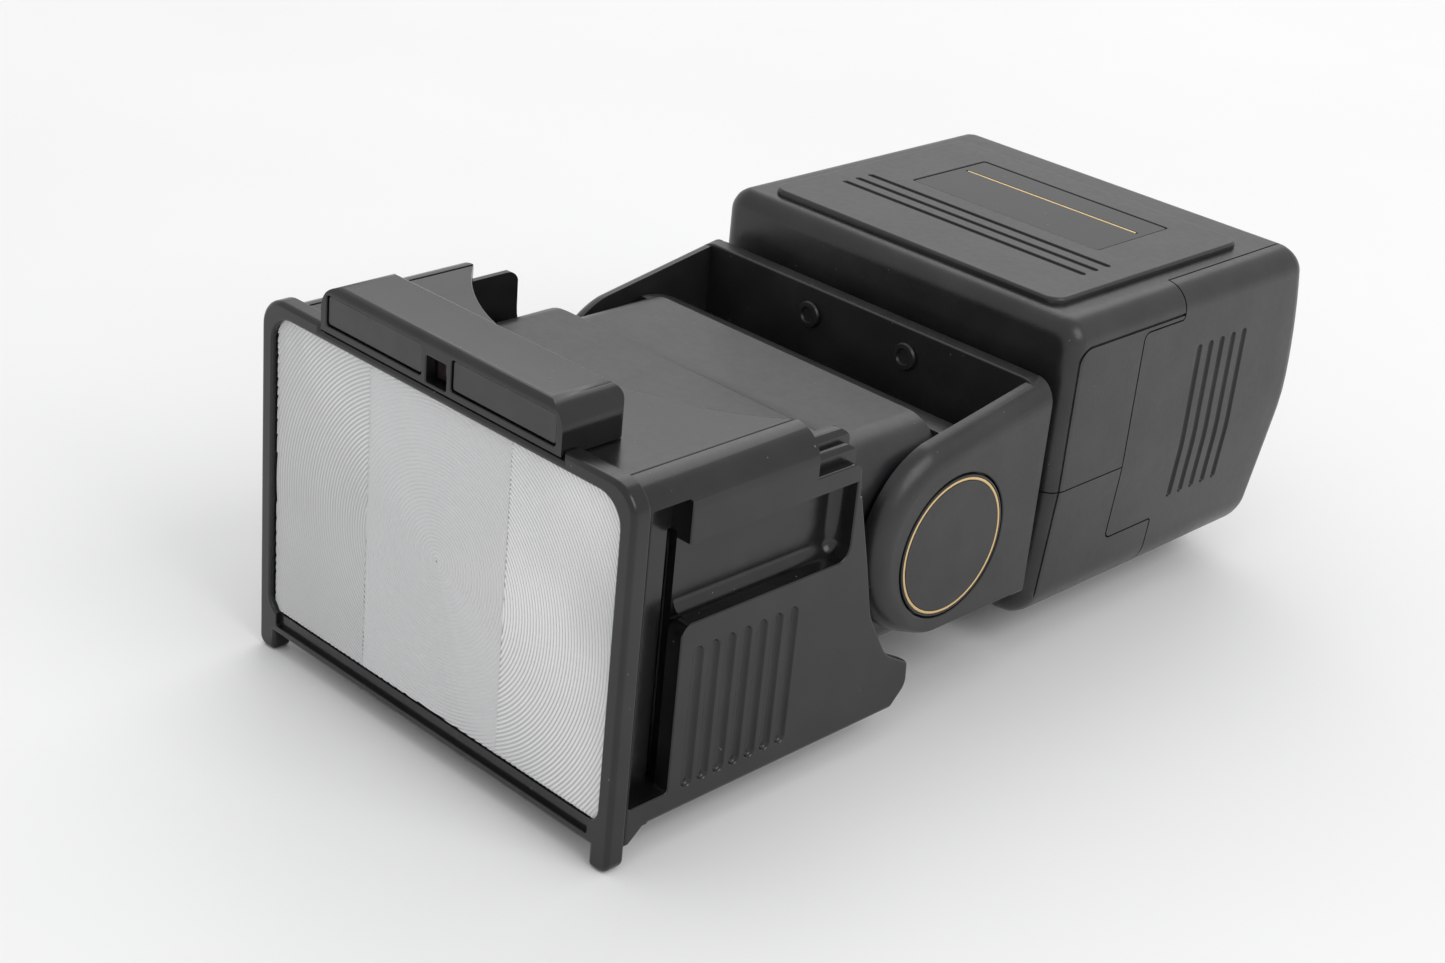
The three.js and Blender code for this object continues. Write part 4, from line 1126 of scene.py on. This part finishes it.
# %% Refining a frame part
def refined(node, name, width, segments=2):
    """A merged copy of a frame part with rounded edges."""
    piece = twin(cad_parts[node], name)
    piece.parent = None
    for key in list(piece.keys()):
        del piece[key]
    weld = piece.modifiers.new("weld", "WELD")
    weld.merge_threshold = 0.00001
    flatten = piece.modifiers.new("flatten", "DECIMATE")
    flatten.decimate_type = "DISSOLVE"
    flatten.angle_limit = np.radians(1.0)
    settle(piece)
    rounding = piece.modifiers.new("rounding", "BEVEL")
    rounding.width = width * MM
    rounding.segments = segments
    rounding.limit_method = "ANGLE"
    rounding.angle_limit = np.radians(35)
    settle(piece)
    return piece


SMALL_PARTS = [
    ("indicator_window", SMOKED, "smoked_window", "zoom_hood", 0.05),
    ("swivel_plate", DULL, "dark_plastic", "yoke", 0.25),
    ("swivel_axle", DULL, "dark_plastic", "yoke", 0.2),
    ("control_panel", SATIN, "satin_plastic", "body", 0.2),
    ("ready_lamp", LAMP, "lamp", "body", 0.3),
    ("sync_socket", STEEL, "steel", "body", 0.15),
    ("sensor_module", SATIN, "satin_plastic", "body", 0.4),
    ("sensor_window", SMOKED, "smoked_window", "body", 0.15),
    ("shoe_foot", DULL, "dark_plastic", "body", 0.25),
    ("lock_wheel", GLOSS, "gloss_plastic", "lock_wheel", 0.25),
    ("power_switch", GLOSS, "gloss_plastic", "power_switch", 0.15),
    ("mode_selector", GLOSS, "gloss_plastic", "mode_selector", 0.15),
    ("test_button", GLOSS, "gloss_plastic", "test_button", 0.4),
    ("centre_contact", GOLD, "gold_contact", "centre_contact", 0.15),
    ("data_contact_right", GOLD, "gold_contact", "data_contact_right", 0.12),
    ("data_contact_left", GOLD, "gold_contact", "data_contact_left", 0.12),
]
for node, material, slot, body, width in SMALL_PARTS:
    hand_over(refined(node, node + "_finished", width), material, slot, body, node)

# %% Parts that stay as the frame made them
KEPT = {
    "inner_window": GLASS_TUBE, "reflector": FOIL, "flash_tube": GLASS_TUBE,
    "tube_electrode_right": STEEL, "tube_electrode_left": STEEL, "trigger_coil": COPPER,
    "head_circuit_board": BOARD, "tilt_pin_right": STEEL, "tilt_pin_left": STEEL,
    "retaining_ring": STEEL, "circuit_board": BOARD, "main_capacitor": SHRINK,
    "transformer": COPPER, "contact_plate_inner": STEEL, "contact_plate_door": STEEL,
    "battery_cell_1": JACKET, "battery_cell_2": JACKET, "battery_cell_3": JACKET,
    "battery_cell_4": JACKET,
}
for node, material in KEPT.items():
    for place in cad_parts[node].material_slots:
        place.material = material
print("kept with new finishes:", len(KEPT))

# %% [markdown]
# ## The table, the light and the camera
#
# The flash lies on a white sheet in a bright room. One large soft light stands behind it to
# the left and another to its right, so the top and the right side get broad soft sheens,
# and the window side, which looks away from both, stays darker.


# %% Table
def table_surface():
    """A plain pale sheet, 4 m square."""
    corners = np.array([[-2, -2, 0], [2, -2, 0], [2, 2, 0], [-2, 2, 0]], float)
    mesh = bpy.data.meshes.new("table")
    mesh.from_pydata(corners.tolist(), [], [[0, 1, 2, 3]])
    sheet = bpy.data.objects.new("table", mesh)
    bpy.context.scene.collection.objects.link(sheet)
    material, tree, base = shader("table_sheet", Roughness=0.75, Specular_IOR_Level=0.3)
    soft = ramp(tree, noise(tree, 6.0, 3.0), 0.3, 0.7)
    paper = mix_colour(tree, soft, (0.86, 0.86, 0.855), (0.88, 0.88, 0.875))
    tree.links.new(paper, base.inputs["Base Color"])
    mesh.materials.append(material)
    return sheet


table_surface()


# %% Light
def soft_light(name, place, aim, size, power):
    """A square area light that faces aim."""
    lamp = bpy.data.lights.new(name, "AREA")
    lamp.size = size
    lamp.energy = power
    holder = bpy.data.objects.new(name, lamp)
    away = unit(np.array(place, float) - np.array(aim, float))
    side = unit(np.cross((0.0, 0.0, 1.0), away) + (1e-6, 0, 0))
    matrix = np.eye(4)
    matrix[:3, :3] = np.column_stack([side, np.cross(away, side), away])
    matrix[:3, 3] = place
    holder.matrix_world = Matrix(matrix.tolist())
    bpy.context.scene.collection.objects.link(holder)
    return holder


soft_light("rear_softbox", (-0.9, 1.3, 1.7), (0, 0, 0.03), 1.7, 11)
soft_light("side_softbox", (1.5, 0.1, 1.3), (0, 0, 0.03), 1.2, 12)

world = bpy.data.worlds.new("pale_room")
world.use_nodes = True
world.node_tree.nodes["Background"].inputs["Color"].default_value = (0.985, 0.99, 1.0, 1)
world.node_tree.nodes["Background"].inputs["Strength"].default_value = 0.80
bpy.context.scene.world = world
bpy.context.scene.view_settings.view_transform = "Standard"

# %% [markdown]
# ## Camera
#
# The camera looks down and to the left across the flash from its right front corner. Its
# axes come from three turns: yaw about the vertical, pitch, and a small roll.

# %% Camera
PLACE = np.array([244.0104, -204.557, 201.7887]) * MM + (0, FRONT, 0)
YAW, PITCH, ROLL = 0.7404637, -0.4462405, 0.0985692
FOCAL_SHARE = 2421.516 / 1445  # focal length as a share of the frame's width

forward = np.array([-np.sin(YAW) * np.cos(PITCH), np.cos(YAW) * np.cos(PITCH), np.sin(PITCH)])
right = unit(np.cross(forward, (0, 0, 1)))
up = np.cross(right, forward)
rolled_right = np.cos(ROLL) * right + np.sin(ROLL) * up
rolled_up = np.cos(ROLL) * up - np.sin(ROLL) * right

lens = bpy.data.cameras.new("camera")
lens.sensor_width = 36.0
lens.lens = FOCAL_SHARE * lens.sensor_width
lens.clip_start, lens.clip_end = 0.01, 20
viewer = bpy.data.objects.new("camera", lens)
stance = np.eye(4)
stance[:3, :3] = np.column_stack([rolled_right, rolled_up, -forward])
stance[:3, 3] = PLACE
viewer.matrix_world = Matrix(stance.tolist())
bpy.context.scene.collection.objects.link(viewer)
bpy.context.scene.camera = viewer
print("lens:", round(lens.lens, 2), "mm")

# %% Sizes, and the end
triangles = sum(sum(len(face.vertices) - 2 for face in p.data.polygons) for p in pieces_made)
print("pieces made:", len(pieces_made), "triangles:", triangles)
